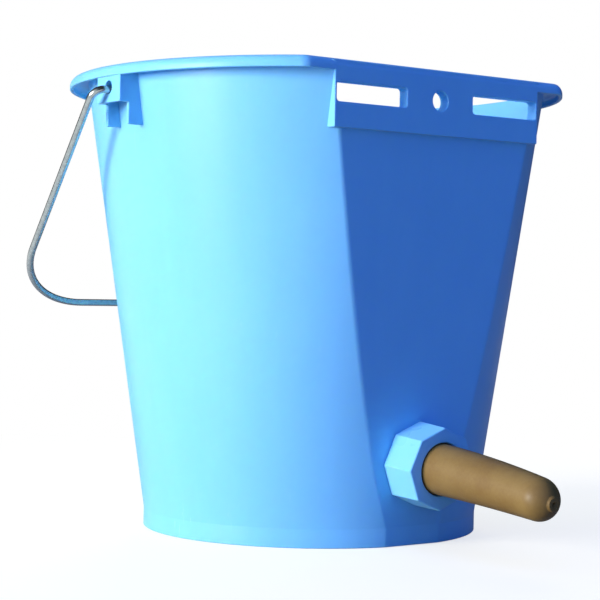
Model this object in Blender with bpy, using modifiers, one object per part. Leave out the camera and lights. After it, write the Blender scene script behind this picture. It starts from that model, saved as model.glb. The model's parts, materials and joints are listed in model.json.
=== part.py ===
"""Calf feeding bucket with a flat front, a rubber teat and a wire bail. Metres, +Z up.

Inside the bucket's own frame the round wall's axis is the Z axis, the bucket stands on z = 0 and the flat
front with the teat faces -Y. Everything hangs on the empty bucket_frame, which shifts that frame along Y so
that the world's origin lies under the middle of the whole object.

The moulding is lofted through D-shaped sections: an arc, two rounded creases and a straight face. The teat,
the nut and the valve are turned round the valve axis, which stands square on the leaning front face.
"""

import math

import bmesh
import bpy

MM = 0.001

# Room left between two pieces that touch on the real object.
SEAT_GAP = 0.3 * MM

# Round wall. The skirt below FOOT_H is upright, and above it the wall is a cone.
RIM_TOP_Z = 250 * MM
FOOT_H = 10.25 * MM
FOOT_R = 94.05 * MM
WALL_TOP_R = 129.4 * MM
WALL_T = 2.4 * MM
FLOOR_UNDER_Z = 8.5 * MM
FLOOR_T = 2.8 * MM
FLOOR_FILLET_R = 4 * MM
SKIRT_T = 2.6 * MM

# Flat front: how deep it is cut into the round wall at its two ends, and how softly it meets the cone.
FACE_FOOT_DEPTH = 1.75 * MM
FACE_TOP_DEPTH = 20.5 * MM
FACE_T = 3 * MM
CREASE_FOOT_R = 22 * MM
CREASE_TOP_R = 7 * MM

# Rim: a flange with a turned-down lip, cut off straight along the front, a little proud of the face.
RIM_W = 9.9 * MM
RIM_FRONT_PROUD = 0.3 * MM
RIM_CORNER_R = 9 * MM
RIM_EDGE_R = 4.5 * MM
RIM_T = 2.4 * MM
LIP_H = 6.3 * MM
LIP_T = 2.2 * MM

# Hanging band: the thick upright strip under the rim's straight front. Drops are counted from the rim's top.
BAND_HALF_W = 69.3 * MM
BAND_DROP = 34.6 * MM
BAND_BACK_DROP = 50.6 * MM
BAND_T = 6.8 * MM
BAND_EDGE_R = 0.7 * MM
SLOT_INNER_X = 22.5 * MM
SLOT_OVERRUN = 0.8 * MM
SLOT_DROP = 11.7 * MM
SLOT_H = 10 * MM
SLOT_CORNER_R = 1.8 * MM
HANG_HOLE_DROP = 16.6 * MM
HANG_HOLE_R = 5.2 * MM

# Bail ears: a plate under the lip, carried by two ribs that reach further down the wall.
EAR_Y = -4.2 * MM
EAR_W = 23.6 * MM
EAR_PLATE_INSET = 1.1 * MM
EAR_PLATE_T = 2.6 * MM
EAR_PLATE_DROP = 20 * MM
EAR_RIB_INSET = 6.6 * MM
EAR_RIB_DROP = 31.5 * MM
EAR_RIB_T = 2.4 * MM
BAIL_HOLE_DROP = 12 * MM
BAIL_HOLE_R = 3.5 * MM

# Bail: wire centre line in its own plane. BAIL_DROP runs from the hinge line to the grip.
WIRE_R = 2 * MM
BAIL_DROP = 162.6 * MM
BAIL_SHOULDER_PROUD = 8.4 * MM
BAIL_DRAW_IN = 14.5 * MM
BAIL_SHOULDER_R = 6 * MM
BAIL_CORNER_R = 49 * MM
BAIL_END_PAST_PLATE = 5.6 * MM

# Valve: distances along its axis are counted outwards from the front face's outer surface.
VALVE_Z = 43.6 * MM
SPIGOT_R = 15.7 * MM
SPIGOT_END = 13.2 * MM
CHAMBER_R = 9 * MM
FLANGE_R = 21 * MM
FLANGE_T = 3 * MM
GASKET_R = 20.5 * MM
GASKET_T = 2 * MM
HUB_R = 13 * MM
HUB_H = 5 * MM
INLET_R = 4.2 * MM
INLET_MOUTH_R = 6.5 * MM
BALL_R = 6.5 * MM
BALL_TRAVEL = 5 * MM
GUIDE_T = 1.6 * MM
RETAINER_T = 3.6 * MM
RETAINER_RING_W = 1.5 * MM
RETAINER_BAR_W = 1.8 * MM
RETAINER_BAR_T = 2 * MM

# Nut: eight flats, wider at the wall by its draft.
NUT_END = 21.2 * MM
NUT_LIP_T = 4.2 * MM
NUT_BACK_R = 22.4 * MM
NUT_FRONT_R = 21.9 * MM
NUT_EDGE_R = 0.7 * MM
NUT_FLATS = 8

# Teat: hollow rubber, clamped by its flange, sagging a little at the tip.
TEAT_FLANGE_T = 3.2 * MM
TEAT_BASE_R = 13.3 * MM
TEAT_TIP_R = 10.95 * MM
TEAT_LENGTH = 82 * MM
TEAT_DOME_H = 11 * MM
TEAT_BORE_BASE_R = 9.2 * MM
TEAT_BORE_TIP_R = 7.6 * MM
TEAT_TIP_WALL = 5 * MM
TEAT_RING_R = 4.3 * MM
TEAT_RING_H = 0.5 * MM
TEAT_HOLE_R = 1 * MM
# Shares of the ring's width at which its flat crown starts and ends, and of the taper done half-way along.
TEAT_RING_CROWN = (0.4, 0.7)
TEAT_TAPER_SHARE = 0.4
TEAT_SAG = 3.5 * MM

# How finely curves are drawn.
ARC_STEPS = 72
CREASE_STEPS = 4
WALL_STEPS = 8
FILLET_STEPS = 4
TURN_STEPS = 40
TEAT_STEPS = 32
DOME_STEPS = 7
BEND_STEPS = 9

# How far a cutter runs past the surface that it opens.
OVERRUN = 6 * MM


# Places that follow from the sizes above.
FACE_FOOT_Y = FOOT_R - FACE_FOOT_DEPTH
FACE_TOP_Y = WALL_TOP_R - FACE_TOP_DEPTH
RIM_R = WALL_TOP_R + RIM_W
RIM_FACE_Y = FACE_TOP_Y + RIM_FRONT_PROUD
BAND_LOW_Z = RIM_TOP_Z - BAND_DROP
BAND_BACK_Z = RIM_TOP_Z - BAND_BACK_DROP
SLOT_LOW_Z = RIM_TOP_Z - SLOT_DROP - SLOT_H
HANG_HOLE_Z = RIM_TOP_Z - HANG_HOLE_DROP
EAR_FACE_X = RIM_R - EAR_PLATE_INSET
EAR_PLATE_LOW_Z = RIM_TOP_Z - EAR_PLATE_DROP
EAR_RIB_X = RIM_R - EAR_RIB_INSET
EAR_RIB_LOW_Z = RIM_TOP_Z - EAR_RIB_DROP
BAIL_HOLE_Z = RIM_TOP_Z - BAIL_HOLE_DROP
BAIL_SHOULDER_X = EAR_FACE_X + BAIL_SHOULDER_PROUD
BAIL_CORNER_X = BAIL_SHOULDER_X - BAIL_DRAW_IN


def wall_rise(z):
    """How far up the cone the height z lies: 0 at the top of the skirt and 1 at the rim's top."""
    return max(0.0, z - FOOT_H) / (RIM_TOP_Z - FOOT_H)


def wall_radius(z):
    return FOOT_R + (WALL_TOP_R - FOOT_R) * wall_rise(z)


def wall_face(z):
    return FACE_FOOT_Y + (FACE_TOP_Y - FACE_FOOT_Y) * wall_rise(z)


def wall_crease(z):
    return CREASE_FOOT_R + (CREASE_TOP_R - CREASE_FOOT_R) * wall_rise(z)


# The front's lean, and the place where the valve axis leaves the outer surface.
FACE_LEAN = math.atan((FACE_TOP_Y - FACE_FOOT_Y) / (RIM_TOP_Z - FOOT_H))
VALVE_Y = -wall_face(VALVE_Z)
TEAT_END = NUT_END + TEAT_LENGTH

# The bucket's axis lies behind the middle of the object, because the teat reaches further than the rim.
TEAT_REACH = -VALVE_Y + (TEAT_END + TEAT_RING_H) * math.cos(FACE_LEAN)
AXIS_Y = (TEAT_REACH - RIM_R) / 2

# The wire lies on the lower edge of the ear's hole, a seat gap above it.
HINGE_Z = BAIL_HOLE_Z - (BAIL_HOLE_R - WIRE_R - SEAT_GAP)


def bail_rest_angle():
    """The swing back from hanging straight down at which the grip meets the cone behind it.

    The grip's centre is at y = EAR_Y + L sin(a) and z = HINGE_Z - L cos(a). Set equal to the cone's radius
    there plus the wire's room beside the slope, that is one sine and one cosine, which add up to one sine.
    """
    slope = (WALL_TOP_R - FOOT_R) / (RIM_TOP_Z - FOOT_H)
    room = (WIRE_R + SEAT_GAP) * math.hypot(1, slope)
    reach = wall_radius(HINGE_Z) + room - EAR_Y
    return math.asin(reach / (BAIL_DROP * math.hypot(1, slope))) - math.atan(slope)


def collection(name):
    made = bpy.data.collections.new(name)
    bpy.context.scene.collection.children.link(made)
    return made


def clear_scene():
    for old in list(bpy.data.objects):
        bpy.data.objects.remove(old, do_unlink=True)


clear_scene()
PARTS = collection("calf_feeding_bucket")
SHAPING = collection("shaping_solids")
SHAPING.hide_render = True


def material(name, colour, roughness, metallic=0.0):
    made = bpy.data.materials.new(name)
    made.use_nodes = True
    shader = made.node_tree.nodes["Principled BSDF"]
    shader.inputs["Base Color"].default_value = (*colour, 1)
    shader.inputs["Roughness"].default_value = roughness
    shader.inputs["Metallic"].default_value = metallic
    return made


def empty(name, parent, location, tilt=0.0):
    made = bpy.data.objects.new(name, None)
    made.empty_display_size = 20 * MM
    made.parent = parent
    made.location = location
    made.rotation_euler = (tilt, 0, 0)
    PARTS.objects.link(made)
    return made


BUCKET_FRAME = empty("bucket_frame", None, (0, AXIS_Y, 0))
BAIL_HINGE = empty("bail_hinge", BUCKET_FRAME, (0, EAR_Y, HINGE_Z), bail_rest_angle())
VALVE_AXIS = empty("valve_axis", BUCKET_FRAME, (0, VALVE_Y, VALVE_Z), math.pi / 2 + FACE_LEAN)


def new_object(name, data, parent, location=(0, 0, 0)):
    """An object among the parts. helper() moves a shaping solid out of them again."""
    made = bpy.data.objects.new(name, data)
    made.parent = parent
    made.location = location
    PARTS.objects.link(made)
    return made


def helper(obj):
    """Marks a solid that only cuts or joins another one."""
    PARTS.objects.unlink(obj)
    SHAPING.objects.link(obj)
    obj.hide_render = True
    obj.display_type = "WIRE"
    return obj


def finish(obj, look, sharp_degrees=35):
    """Gives a piece its material, and smooth shading between its sharp edges."""
    obj.data.materials.append(look)
    obj.data.shade_smooth()
    obj.data.set_sharp_from_angle(angle=math.radians(sharp_degrees))
    return obj


def mesh_from(bm, name):
    bmesh.ops.recalc_face_normals(bm, faces=bm.faces)
    mesh = bpy.data.meshes.new(name)
    bm.to_mesh(mesh)
    bm.free()
    return mesh


def combine(target, other, operation):
    """Adds a Boolean of other to target, or of each solid where other is a list."""
    for solid in other if isinstance(other, list) else [other]:
        boolean = target.modifiers.new(solid.name, "BOOLEAN")
        boolean.operation = operation
        boolean.solver = "EXACT"
        boolean.object = solid


def arc(centre, radius, start, end, steps):
    """Points on a circle from one angle to the other, both ends included."""
    return [
        (
            centre[0] + radius * math.cos(start + (end - start) * step / steps),
            centre[1] + radius * math.sin(start + (end - start) * step / steps),
        )
        for step in range(steps + 1)
    ]


def d_ring(radius, face, corner, z):
    """Points round a D-shaped section: the round side, then the two rounded corners of the flat side at -Y."""
    corner_y = face - corner
    corner_x = math.sqrt((radius - corner) ** 2 - corner_y**2)
    turn = math.atan2(corner_y, corner_x)
    flat = -math.pi / 2
    round_side = arc((0, 0), radius, -turn, math.pi + turn, ARC_STEPS)
    left = arc((-corner_x, -corner_y), corner, math.pi + turn, 2 * math.pi + flat, CREASE_STEPS)
    right = arc((corner_x, -corner_y), corner, flat, -turn, CREASE_STEPS)
    return [(x, y, z) for x, y in round_side + left[1:] + right[:-1]]


def loft(name, rings):
    """A closed solid through rings with equally many points, with a flat face on the first and the last.

    The quads between two unlike rings are slightly twisted, so they are split: a Boolean needs flat faces.
    """
    bm = bmesh.new()
    made = [[bm.verts.new(point) for point in ring] for ring in rings]
    for low, high in zip(made, made[1:]):
        for here in range(len(low)):
            there = (here + 1) % len(low)
            bm.faces.new((low[here], low[there], high[there], high[here]))
    bmesh.ops.triangulate(bm, faces=bm.faces)
    bm.faces.new(made[0])
    bm.faces.new(made[-1])
    return new_object(name, mesh_from(bm, name), BUCKET_FRAME)


def turned(name, profile, parent, steps=TURN_STEPS, closed=True):
    """A profile of (radius, height) turned round the parent's Z axis. It runs down its outer side."""
    mesh = bpy.data.meshes.new(name)
    edges = [(here, here + 1) for here in range(len(profile) - 1)]
    if closed:
        edges.append((len(profile) - 1, 0))
    mesh.from_pydata([(radius, 0, height) for radius, height in profile], edges, [])
    made = new_object(name, mesh, parent)
    screw = made.modifiers.new("turn", "SCREW")
    screw.steps = steps
    screw.render_steps = steps
    screw.use_merge_vertices = True
    screw.merge_threshold = 0.01 * MM
    screw.use_smooth_shade = True
    return made


def box(name, low, high, parent=BUCKET_FRAME):
    """A box between two corners."""
    bm = bmesh.new()
    bmesh.ops.create_cube(bm, size=1)
    size = [end - start for start, end in zip(low, high)]
    bmesh.ops.scale(bm, vec=size, verts=bm.verts)
    middle = [(start + end) / 2 for start, end in zip(low, high)]
    return new_object(name, mesh_from(bm, name), parent, middle)


def rod(name, radius, length, parent, location, turn=(0, 0, 0)):
    """A cylinder about its own Z axis, centred on its place."""
    bm = bmesh.new()
    bmesh.ops.create_cone(
        bm, cap_ends=True, segments=TURN_STEPS, radius1=radius, radius2=radius, depth=length
    )
    made = new_object(name, mesh_from(bm, name), parent, location)
    made.rotation_euler = turn
    return made


def as_mesh(obj):
    """Replaces an object by a plain mesh of what its curve or its modifiers make."""
    bpy.context.view_layer.update()
    graph = bpy.context.evaluated_depsgraph_get()
    mesh = bpy.data.meshes.new_from_object(obj.evaluated_get(graph))
    bm = bmesh.new()
    bm.from_mesh(mesh)
    bmesh.ops.remove_doubles(bm, verts=bm.verts, dist=0.001 * MM)
    bm.to_mesh(mesh)
    bm.free()
    name = obj.name
    place = obj.matrix_world.copy()
    parent = obj.parent
    bpy.data.objects.remove(obj, do_unlink=True)
    mesh.name = name
    made = new_object(name, mesh, parent)
    made.matrix_world = place
    return made


def outer_wall():
    """The outside of the moulding up to just under the rim's top, still solid, with the recess under the floor."""
    top_z = RIM_TOP_Z - RIM_T / 2
    inner_foot = (FOOT_R - SKIRT_T, FACE_FOOT_Y - SKIRT_T, CREASE_FOOT_R - SKIRT_T)
    rings = [d_ring(*inner_foot, FLOOR_UNDER_Z), d_ring(*inner_foot, 0)]
    heights = [0] + [FOOT_H + (top_z - FOOT_H) * step / WALL_STEPS for step in range(WALL_STEPS + 1)]
    for z in heights:
        rings.append(d_ring(wall_radius(z), wall_face(z), wall_crease(z), z))
    return loft("bucket_shell", rings)


def inner_face(z):
    """The front's inner surface leans with the outer one, then thickens the wall up to the band's back."""
    if z <= BAND_BACK_Z:
        return wall_face(z) - FACE_T
    start = wall_face(BAND_BACK_Z) - FACE_T
    share = min(1.0, (z - BAND_BACK_Z) / (BAND_LOW_Z - BAND_BACK_Z))
    return start + share * (RIM_FACE_Y - BAND_T - start)


def cavity():
    """The inside of the bucket as a solid, with the rounded edge of its floor, running out of its mouth."""
    floor_z = FLOOR_UNDER_Z + FLOOR_T
    rings = []
    for step in range(FILLET_STEPS):
        angle = math.pi / 2 * step / FILLET_STEPS
        inset = FLOOR_FILLET_R * (1 - math.sin(angle))
        z = floor_z + FLOOR_FILLET_R * (1 - math.cos(angle))
        corner = wall_crease(z) - WALL_T - inset
        rings.append(d_ring(wall_radius(z) - WALL_T - inset, inner_face(z) - inset, corner, z))
    low_z = floor_z + FLOOR_FILLET_R
    heights = [low_z + (BAND_BACK_Z - low_z) * step / WALL_STEPS for step in range(WALL_STEPS + 1)]
    for z in heights + [BAND_LOW_Z, RIM_TOP_Z, RIM_TOP_Z + OVERRUN]:
        rings.append(d_ring(wall_radius(z) - WALL_T, inner_face(z), wall_crease(z) - WALL_T, z))
    return helper(loft("cavity", rings))


def rounded_slab(name, inset, low_z, top_z, edge_r):
    """A slab with the rim's outline, drawn in by an inset, and with its top edge rounded."""
    rings = [d_ring(RIM_R - inset, RIM_FACE_Y - inset, RIM_CORNER_R - inset, low_z)]
    for step in range(FILLET_STEPS + 1):
        angle = math.pi / 2 * step / FILLET_STEPS
        deeper = inset + edge_r * (1 - math.cos(angle))
        z = top_z - edge_r * (1 - math.sin(angle))
        rings.append(d_ring(RIM_R - deeper, RIM_FACE_Y - deeper, RIM_CORNER_R - deeper, z))
    return loft(name, rings)


def rim():
    """The rim's slab, hollowed from below by a smaller one, so that a lip hangs from its flange."""
    slab = rounded_slab("rim", 0, RIM_TOP_Z - LIP_H, RIM_TOP_Z, RIM_EDGE_R)
    groove_low = RIM_TOP_Z - LIP_H - OVERRUN
    groove = rounded_slab("rim_groove", LIP_T, groove_low, RIM_TOP_Z - RIM_T, RIM_EDGE_R - LIP_T)
    combine(slab, helper(groove), "DIFFERENCE")
    return helper(slab)


# The turns that stand an outline up, extruded along Y or along X.
ALONG_Y = (math.pi / 2, 0, 0)
ALONG_X = (math.pi / 2, 0, math.pi / 2)


def extruded(name, outline, thickness, location, turn):
    """A flat outline, given in its own X and Y, extruded by half the thickness to each side."""
    flat = bpy.data.curves.new(name, "CURVE")
    flat.dimensions = "2D"
    flat.fill_mode = "BOTH"
    flat.extrude = thickness / 2
    spline = flat.splines.new("POLY")
    spline.points.add(len(outline) - 1)
    for point, (x, y) in zip(spline.points, outline):
        point.co = (x, y, 0, 1)
    spline.use_cyclic_u = True
    made = new_object(name, flat, BUCKET_FRAME, location)
    made.rotation_euler = turn
    return as_mesh(made)


def band():
    """The hanging band, whose back the cavity cuts off. Its top is chamfered to stay inside the rim."""
    outline = [
        (-RIM_FACE_Y, BAND_LOW_Z),
        (-RIM_FACE_Y, RIM_TOP_Z - RIM_EDGE_R),
        (-RIM_FACE_Y + LIP_T, RIM_TOP_Z - RIM_T / 2),
        (-RIM_FACE_Y + BAND_T + OVERRUN, RIM_TOP_Z - RIM_T / 2),
        (-RIM_FACE_Y + BAND_T + OVERRUN, BAND_LOW_Z),
    ]
    made = extruded("hanging_band", outline, 2 * BAND_HALF_W, (0, 0, 0), ALONG_X)
    rounding = made.modifiers.new("rounded edges", "BEVEL")
    rounding.width = BAND_EDGE_R
    rounding.segments = 2
    return helper(made)


def slot(name, side):
    """One hanging slot: round at its inner corners, and run out through the end of the band."""
    inner = SLOT_INNER_X + SLOT_CORNER_R
    outer = BAND_HALF_W + SLOT_OVERRUN
    low = SLOT_LOW_Z + SLOT_CORNER_R
    high = SLOT_LOW_Z + SLOT_H - SLOT_CORNER_R
    points = arc((inner, high), SLOT_CORNER_R, math.pi / 2, math.pi, FILLET_STEPS)
    points += arc((inner, low), SLOT_CORNER_R, math.pi, 3 * math.pi / 2, FILLET_STEPS)
    points += [(outer, SLOT_LOW_Z), (outer, SLOT_LOW_Z + SLOT_H)]
    outline = [(side * x, z) for x, z in points]
    place = (0, -RIM_FACE_Y + BAND_T / 2, 0)
    return helper(extruded(name, outline, 2 * (BAND_T + OVERRUN), place, ALONG_Y))


def band_openings():
    """The round hole and both slots as one shaping solid."""
    hole = rod(
        "hanging_hole",
        HANG_HOLE_R,
        2 * (BAND_T + OVERRUN),
        BUCKET_FRAME,
        (0, -RIM_FACE_Y + BAND_T / 2, HANG_HOLE_Z),
        ALONG_Y,
    )
    combine(hole, [slot("left_slot", -1), slot("right_slot", 1)], "UNION")
    return helper(hole)


def span(side, near, far):
    """The two x values of a shape that lies between two distances from the middle, on one side."""
    return sorted((side * near, side * far))


def ear(name, side):
    """One bail ear: its side outline has the ribs' step and a top chamfered to stay inside the rim.

    The pocket leaves the plate and the two ribs. The wall covers what the outline has inside it.
    """
    deep_x = wall_radius(EAR_RIB_LOW_Z) - WALL_T - OVERRUN
    inner_x = EAR_FACE_X - EAR_PLATE_T
    top_z = RIM_TOP_Z - RIM_T / 2
    points = [
        (deep_x, EAR_RIB_LOW_Z),
        (EAR_RIB_X, EAR_RIB_LOW_Z),
        (EAR_RIB_X, EAR_PLATE_LOW_Z),
        (EAR_FACE_X, EAR_PLATE_LOW_Z),
        (EAR_FACE_X, RIM_TOP_Z - RIM_EDGE_R),
        (inner_x, top_z),
        (deep_x, top_z),
    ]
    outline = [(side * x, z) for x, z in points]
    made = extruded(name, outline, EAR_W, (0, EAR_Y, 0), ALONG_Y)
    pocket_half = EAR_W / 2 - EAR_RIB_T
    x0, x1 = span(side, deep_x - OVERRUN, inner_x)
    pocket = box(
        name + "_pocket",
        (x0, EAR_Y - pocket_half, EAR_RIB_LOW_Z - OVERRUN),
        (x1, EAR_Y + pocket_half, RIM_TOP_Z - RIM_T - SEAT_GAP),
    )
    combine(made, helper(pocket), "DIFFERENCE")
    return helper(made)


def bail_hole(name, side):
    made = rod(
        name,
        BAIL_HOLE_R,
        2 * (EAR_PLATE_T + SEAT_GAP),
        BUCKET_FRAME,
        (side * (EAR_FACE_X - EAR_PLATE_T / 2), EAR_Y, BAIL_HOLE_Z),
        (0, math.pi / 2, 0),
    )
    return helper(made)


def bucket_shell(look):
    shell = outer_wall()
    combine(shell, [rim(), band(), ear("left_ear", -1), ear("right_ear", 1)], "UNION")
    combine(shell, cavity(), "DIFFERENCE")
    combine(shell, band_openings(), "DIFFERENCE")
    combine(shell, [bail_hole("left_bail_hole", -1), bail_hole("right_bail_hole", 1)], "DIFFERENCE")
    valve_hole = rod("valve_hole", SPIGOT_R + SEAT_GAP, 2 * (FACE_T + OVERRUN), VALVE_AXIS, (0, 0, 0))
    combine(shell, helper(valve_hole), "DIFFERENCE")
    return finish(shell, look, 25)


def rounded_corner(before, corner, after, radius, steps):
    """Points of the arc that rounds a corner between two straight runs, in a plane."""
    back = (before[0] - corner[0], before[1] - corner[1])
    on = (after[0] - corner[0], after[1] - corner[1])
    back_turn = math.atan2(back[1], back[0])
    on_turn = math.atan2(on[1], on[0])
    between = math.remainder(on_turn - back_turn, 2 * math.pi)
    middle = back_turn + between / 2
    reach = radius / math.sin(abs(between) / 2)
    centre = (corner[0] + reach * math.cos(middle), corner[1] + reach * math.sin(middle))
    quarter = math.copysign(math.pi / 2, between)
    start = back_turn - quarter
    end = on_turn + quarter
    sweep = math.remainder(end - start, 2 * math.pi)
    return arc(centre, radius, start, start + sweep, steps)


def bail_handle(look):
    """The wire, drawn in the plane of the hinge's X and Z axes and hanging down from the hinge line."""
    end_x = EAR_FACE_X - EAR_PLATE_T - BAIL_END_PAST_PLATE
    end = (end_x, 0)
    shoulder = (BAIL_SHOULDER_X, 0)
    corner = (BAIL_CORNER_X, -BAIL_DROP)
    half = [end]
    half += rounded_corner(end, shoulder, corner, BAIL_SHOULDER_R, BEND_STEPS)
    half += rounded_corner(shoulder, corner, (0, -BAIL_DROP), BAIL_CORNER_R, BEND_STEPS)
    route = half + [(-x, z) for x, z in reversed(half)]
    wire = bpy.data.curves.new("bail_handle", "CURVE")
    wire.dimensions = "3D"
    wire.bevel_depth = WIRE_R
    wire.bevel_resolution = 4
    wire.use_fill_caps = True
    spline = wire.splines.new("POLY")
    spline.points.add(len(route) - 1)
    for point, (x, z) in zip(spline.points, route):
        point.co = (x, 0, z, 1)
    made = new_object("bail_handle", wire, BAIL_HINGE)
    wire.materials.append(look)
    return made


def nut_bore():
    """Room for the spigot and the teat's flange, then the narrower hole of the nut's front lip."""
    room_r = SPIGOT_R + SEAT_GAP
    lip_r = TEAT_BASE_R + 2 * SEAT_GAP
    shoulder = NUT_END - NUT_LIP_T
    profile = [
        (0, NUT_END + OVERRUN),
        (lip_r + NUT_EDGE_R + OVERRUN, NUT_END + OVERRUN),
        (lip_r, NUT_END - NUT_EDGE_R),
        (lip_r, shoulder),
        (room_r, shoulder),
        (room_r, -OVERRUN),
        (0, -OVERRUN),
    ]
    return helper(turned("nut_bore", profile, VALVE_AXIS, closed=False))


def teat_nut(look):
    length = NUT_END - SEAT_GAP
    bm = bmesh.new()
    bmesh.ops.create_cone(
        bm, cap_ends=True, segments=NUT_FLATS, radius1=NUT_BACK_R, radius2=NUT_FRONT_R, depth=length
    )
    nut = new_object("teat_nut", mesh_from(bm, "teat_nut"), VALVE_AXIS, (0, 0, SEAT_GAP + length / 2))
    rounding = nut.modifiers.new("rounded edges", "BEVEL")
    rounding.width = NUT_EDGE_R
    rounding.segments = 2
    combine(nut, nut_bore(), "DIFFERENCE")
    return finish(nut, look, 30)


def teat_profile():
    """The teat's section from the hole in its tip down its outer side, and back up its bore."""
    flange_low = SPIGOT_END + SEAT_GAP
    flange_high = flange_low + TEAT_FLANGE_T
    dome_low = TEAT_END - TEAT_DOME_H
    points = [(TEAT_HOLE_R, TEAT_END)]
    for share in TEAT_RING_CROWN:
        points.append((TEAT_HOLE_R + share * (TEAT_RING_R - TEAT_HOLE_R), TEAT_END + TEAT_RING_H))
    ring_turn = math.asin(TEAT_RING_R / TEAT_TIP_R)
    for step in range(DOME_STEPS + 1):
        angle = ring_turn + (math.pi / 2 - ring_turn) * step / DOME_STEPS
        points.append((TEAT_TIP_R * math.sin(angle), dome_low + TEAT_DOME_H * math.cos(angle)))
    points += [
        (TEAT_BASE_R - TEAT_TAPER_SHARE * (TEAT_BASE_R - TEAT_TIP_R), (NUT_END + dome_low) / 2),
        (TEAT_BASE_R, NUT_END + SEAT_GAP),
        (TEAT_BASE_R + SEAT_GAP, flange_high),
        (SPIGOT_R, flange_high),
        (SPIGOT_R, flange_low),
        (TEAT_BORE_BASE_R, flange_low),
        (TEAT_BORE_BASE_R, NUT_END),
    ]
    bore_end = TEAT_END - TEAT_TIP_WALL
    bore_dome_low = bore_end - TEAT_BORE_TIP_R
    hole_turn = math.asin(TEAT_HOLE_R / TEAT_BORE_TIP_R)
    for step in range(FILLET_STEPS + 1):
        angle = math.pi / 2 + (hole_turn - math.pi / 2) * step / FILLET_STEPS
        points.append(
            (TEAT_BORE_TIP_R * math.sin(angle), bore_dome_low + TEAT_BORE_TIP_R * math.cos(angle))
        )
    return points


def divided(points, longest):
    """The same outline with points added along its long straight runs, so that it can bend there."""
    finer = []
    for here, there in zip(points, points[1:] + points[:1]):
        parts = max(1, math.ceil(math.dist(here, there) / longest))
        for part in range(parts):
            share = part / parts
            finer.append(tuple(a + (b - a) * share for a, b in zip(here, there)))
    return finer


def teat(look):
    """The rubber leaves the nut square to the front and sags with the square of the distance."""
    made = as_mesh(turned("teat", divided(teat_profile(), TEAT_LENGTH / 6), VALVE_AXIS, TEAT_STEPS))
    for vertex in made.data.vertices:
        past_nut = max(0.0, vertex.co.z - NUT_END)
        vertex.co.y -= TEAT_SAG * (past_nut / TEAT_LENGTH) ** 2
    return finish(made, look, 50)


GASKET_FAR = -(FACE_T + SEAT_GAP + GASKET_T)
FLANGE_NEAR = GASKET_FAR - SEAT_GAP
FLANGE_FAR = FLANGE_NEAR - FLANGE_T
RETAINER_NEAR = SPIGOT_END - SEAT_GAP - RETAINER_T
BALL_REST = RETAINER_NEAR - SEAT_GAP - BALL_R

# A seat cone at 45 degrees has radius = distance along the axis + SEAT_CONE, and the ball stops against it.
SEAT_CONE = math.sqrt(2) * (BALL_R + SEAT_GAP) - (BALL_REST - BALL_TRAVEL)


def valve_bore():
    """The passage for the milk: inlet mouth, inlet, conical seat and ball chamber, as a solid."""
    hub_end = FLANGE_FAR - HUB_H
    profile = [
        (0, SPIGOT_END + OVERRUN),
        (CHAMBER_R, SPIGOT_END + OVERRUN),
        (CHAMBER_R, CHAMBER_R - SEAT_CONE),
        (INLET_R, INLET_R - SEAT_CONE),
        (INLET_R, hub_end + (INLET_MOUTH_R - INLET_R)),
        (INLET_MOUTH_R + OVERRUN, hub_end - OVERRUN),
        (0, hub_end - OVERRUN),
    ]
    return helper(turned("valve_bore", profile, VALVE_AXIS, closed=False))


def guide(name, angle):
    """One of the ribs that keep the ball in the middle of its chamber, so that milk can pass beside it."""
    inner = BALL_R + SEAT_GAP
    outer = (CHAMBER_R + SPIGOT_R) / 2
    low = CHAMBER_R - SEAT_CONE
    high = RETAINER_NEAR - SEAT_GAP
    made = box(name, (inner, -GUIDE_T / 2, low), (outer, GUIDE_T / 2, high), VALVE_AXIS)
    made.location = (
        math.cos(angle) * (inner + outer) / 2,
        math.sin(angle) * (inner + outer) / 2,
        (low + high) / 2,
    )
    made.rotation_euler = (0, 0, angle)
    return helper(made)


def valve_body(look):
    profile = [
        (0, SPIGOT_END),
        (SPIGOT_R - NUT_EDGE_R, SPIGOT_END),
        (SPIGOT_R, SPIGOT_END - NUT_EDGE_R),
        (SPIGOT_R, FLANGE_NEAR),
        (FLANGE_R, FLANGE_NEAR),
        (FLANGE_R, FLANGE_FAR),
        (0, FLANGE_FAR),
    ]
    body = turned("valve_body", profile, VALVE_AXIS, closed=False)
    hub_h = HUB_H + FLANGE_T / 2
    bm = bmesh.new()
    bmesh.ops.create_cone(
        bm, cap_ends=True, segments=NUT_FLATS, radius1=HUB_R, radius2=HUB_R, depth=hub_h
    )
    hub_place = (0, 0, FLANGE_FAR - HUB_H + hub_h / 2)
    hub = helper(new_object("valve_hub", mesh_from(bm, "valve_hub"), VALVE_AXIS, hub_place))
    combine(body, hub, "UNION")
    combine(body, valve_bore(), "DIFFERENCE")
    guides = [guide(f"ball_guide_{turn}", math.radians(45 + 90 * turn)) for turn in range(4)]
    combine(body, guides, "UNION")
    return finish(body, look)


def flange_gasket(look):
    near = -(FACE_T + SEAT_GAP)
    inner = SPIGOT_R + SEAT_GAP
    profile = [(GASKET_R, near), (GASKET_R, GASKET_FAR), (inner, GASKET_FAR), (inner, near)]
    return finish(turned("flange_gasket", profile, VALVE_AXIS), look)


def valve_ball(look):
    bm = bmesh.new()
    bmesh.ops.create_uvsphere(bm, u_segments=24, v_segments=14, radius=BALL_R)
    ball = new_object("valve_ball", mesh_from(bm, "valve_ball"), VALVE_AXIS, (0, 0, BALL_REST))
    return finish(ball, look)


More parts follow.
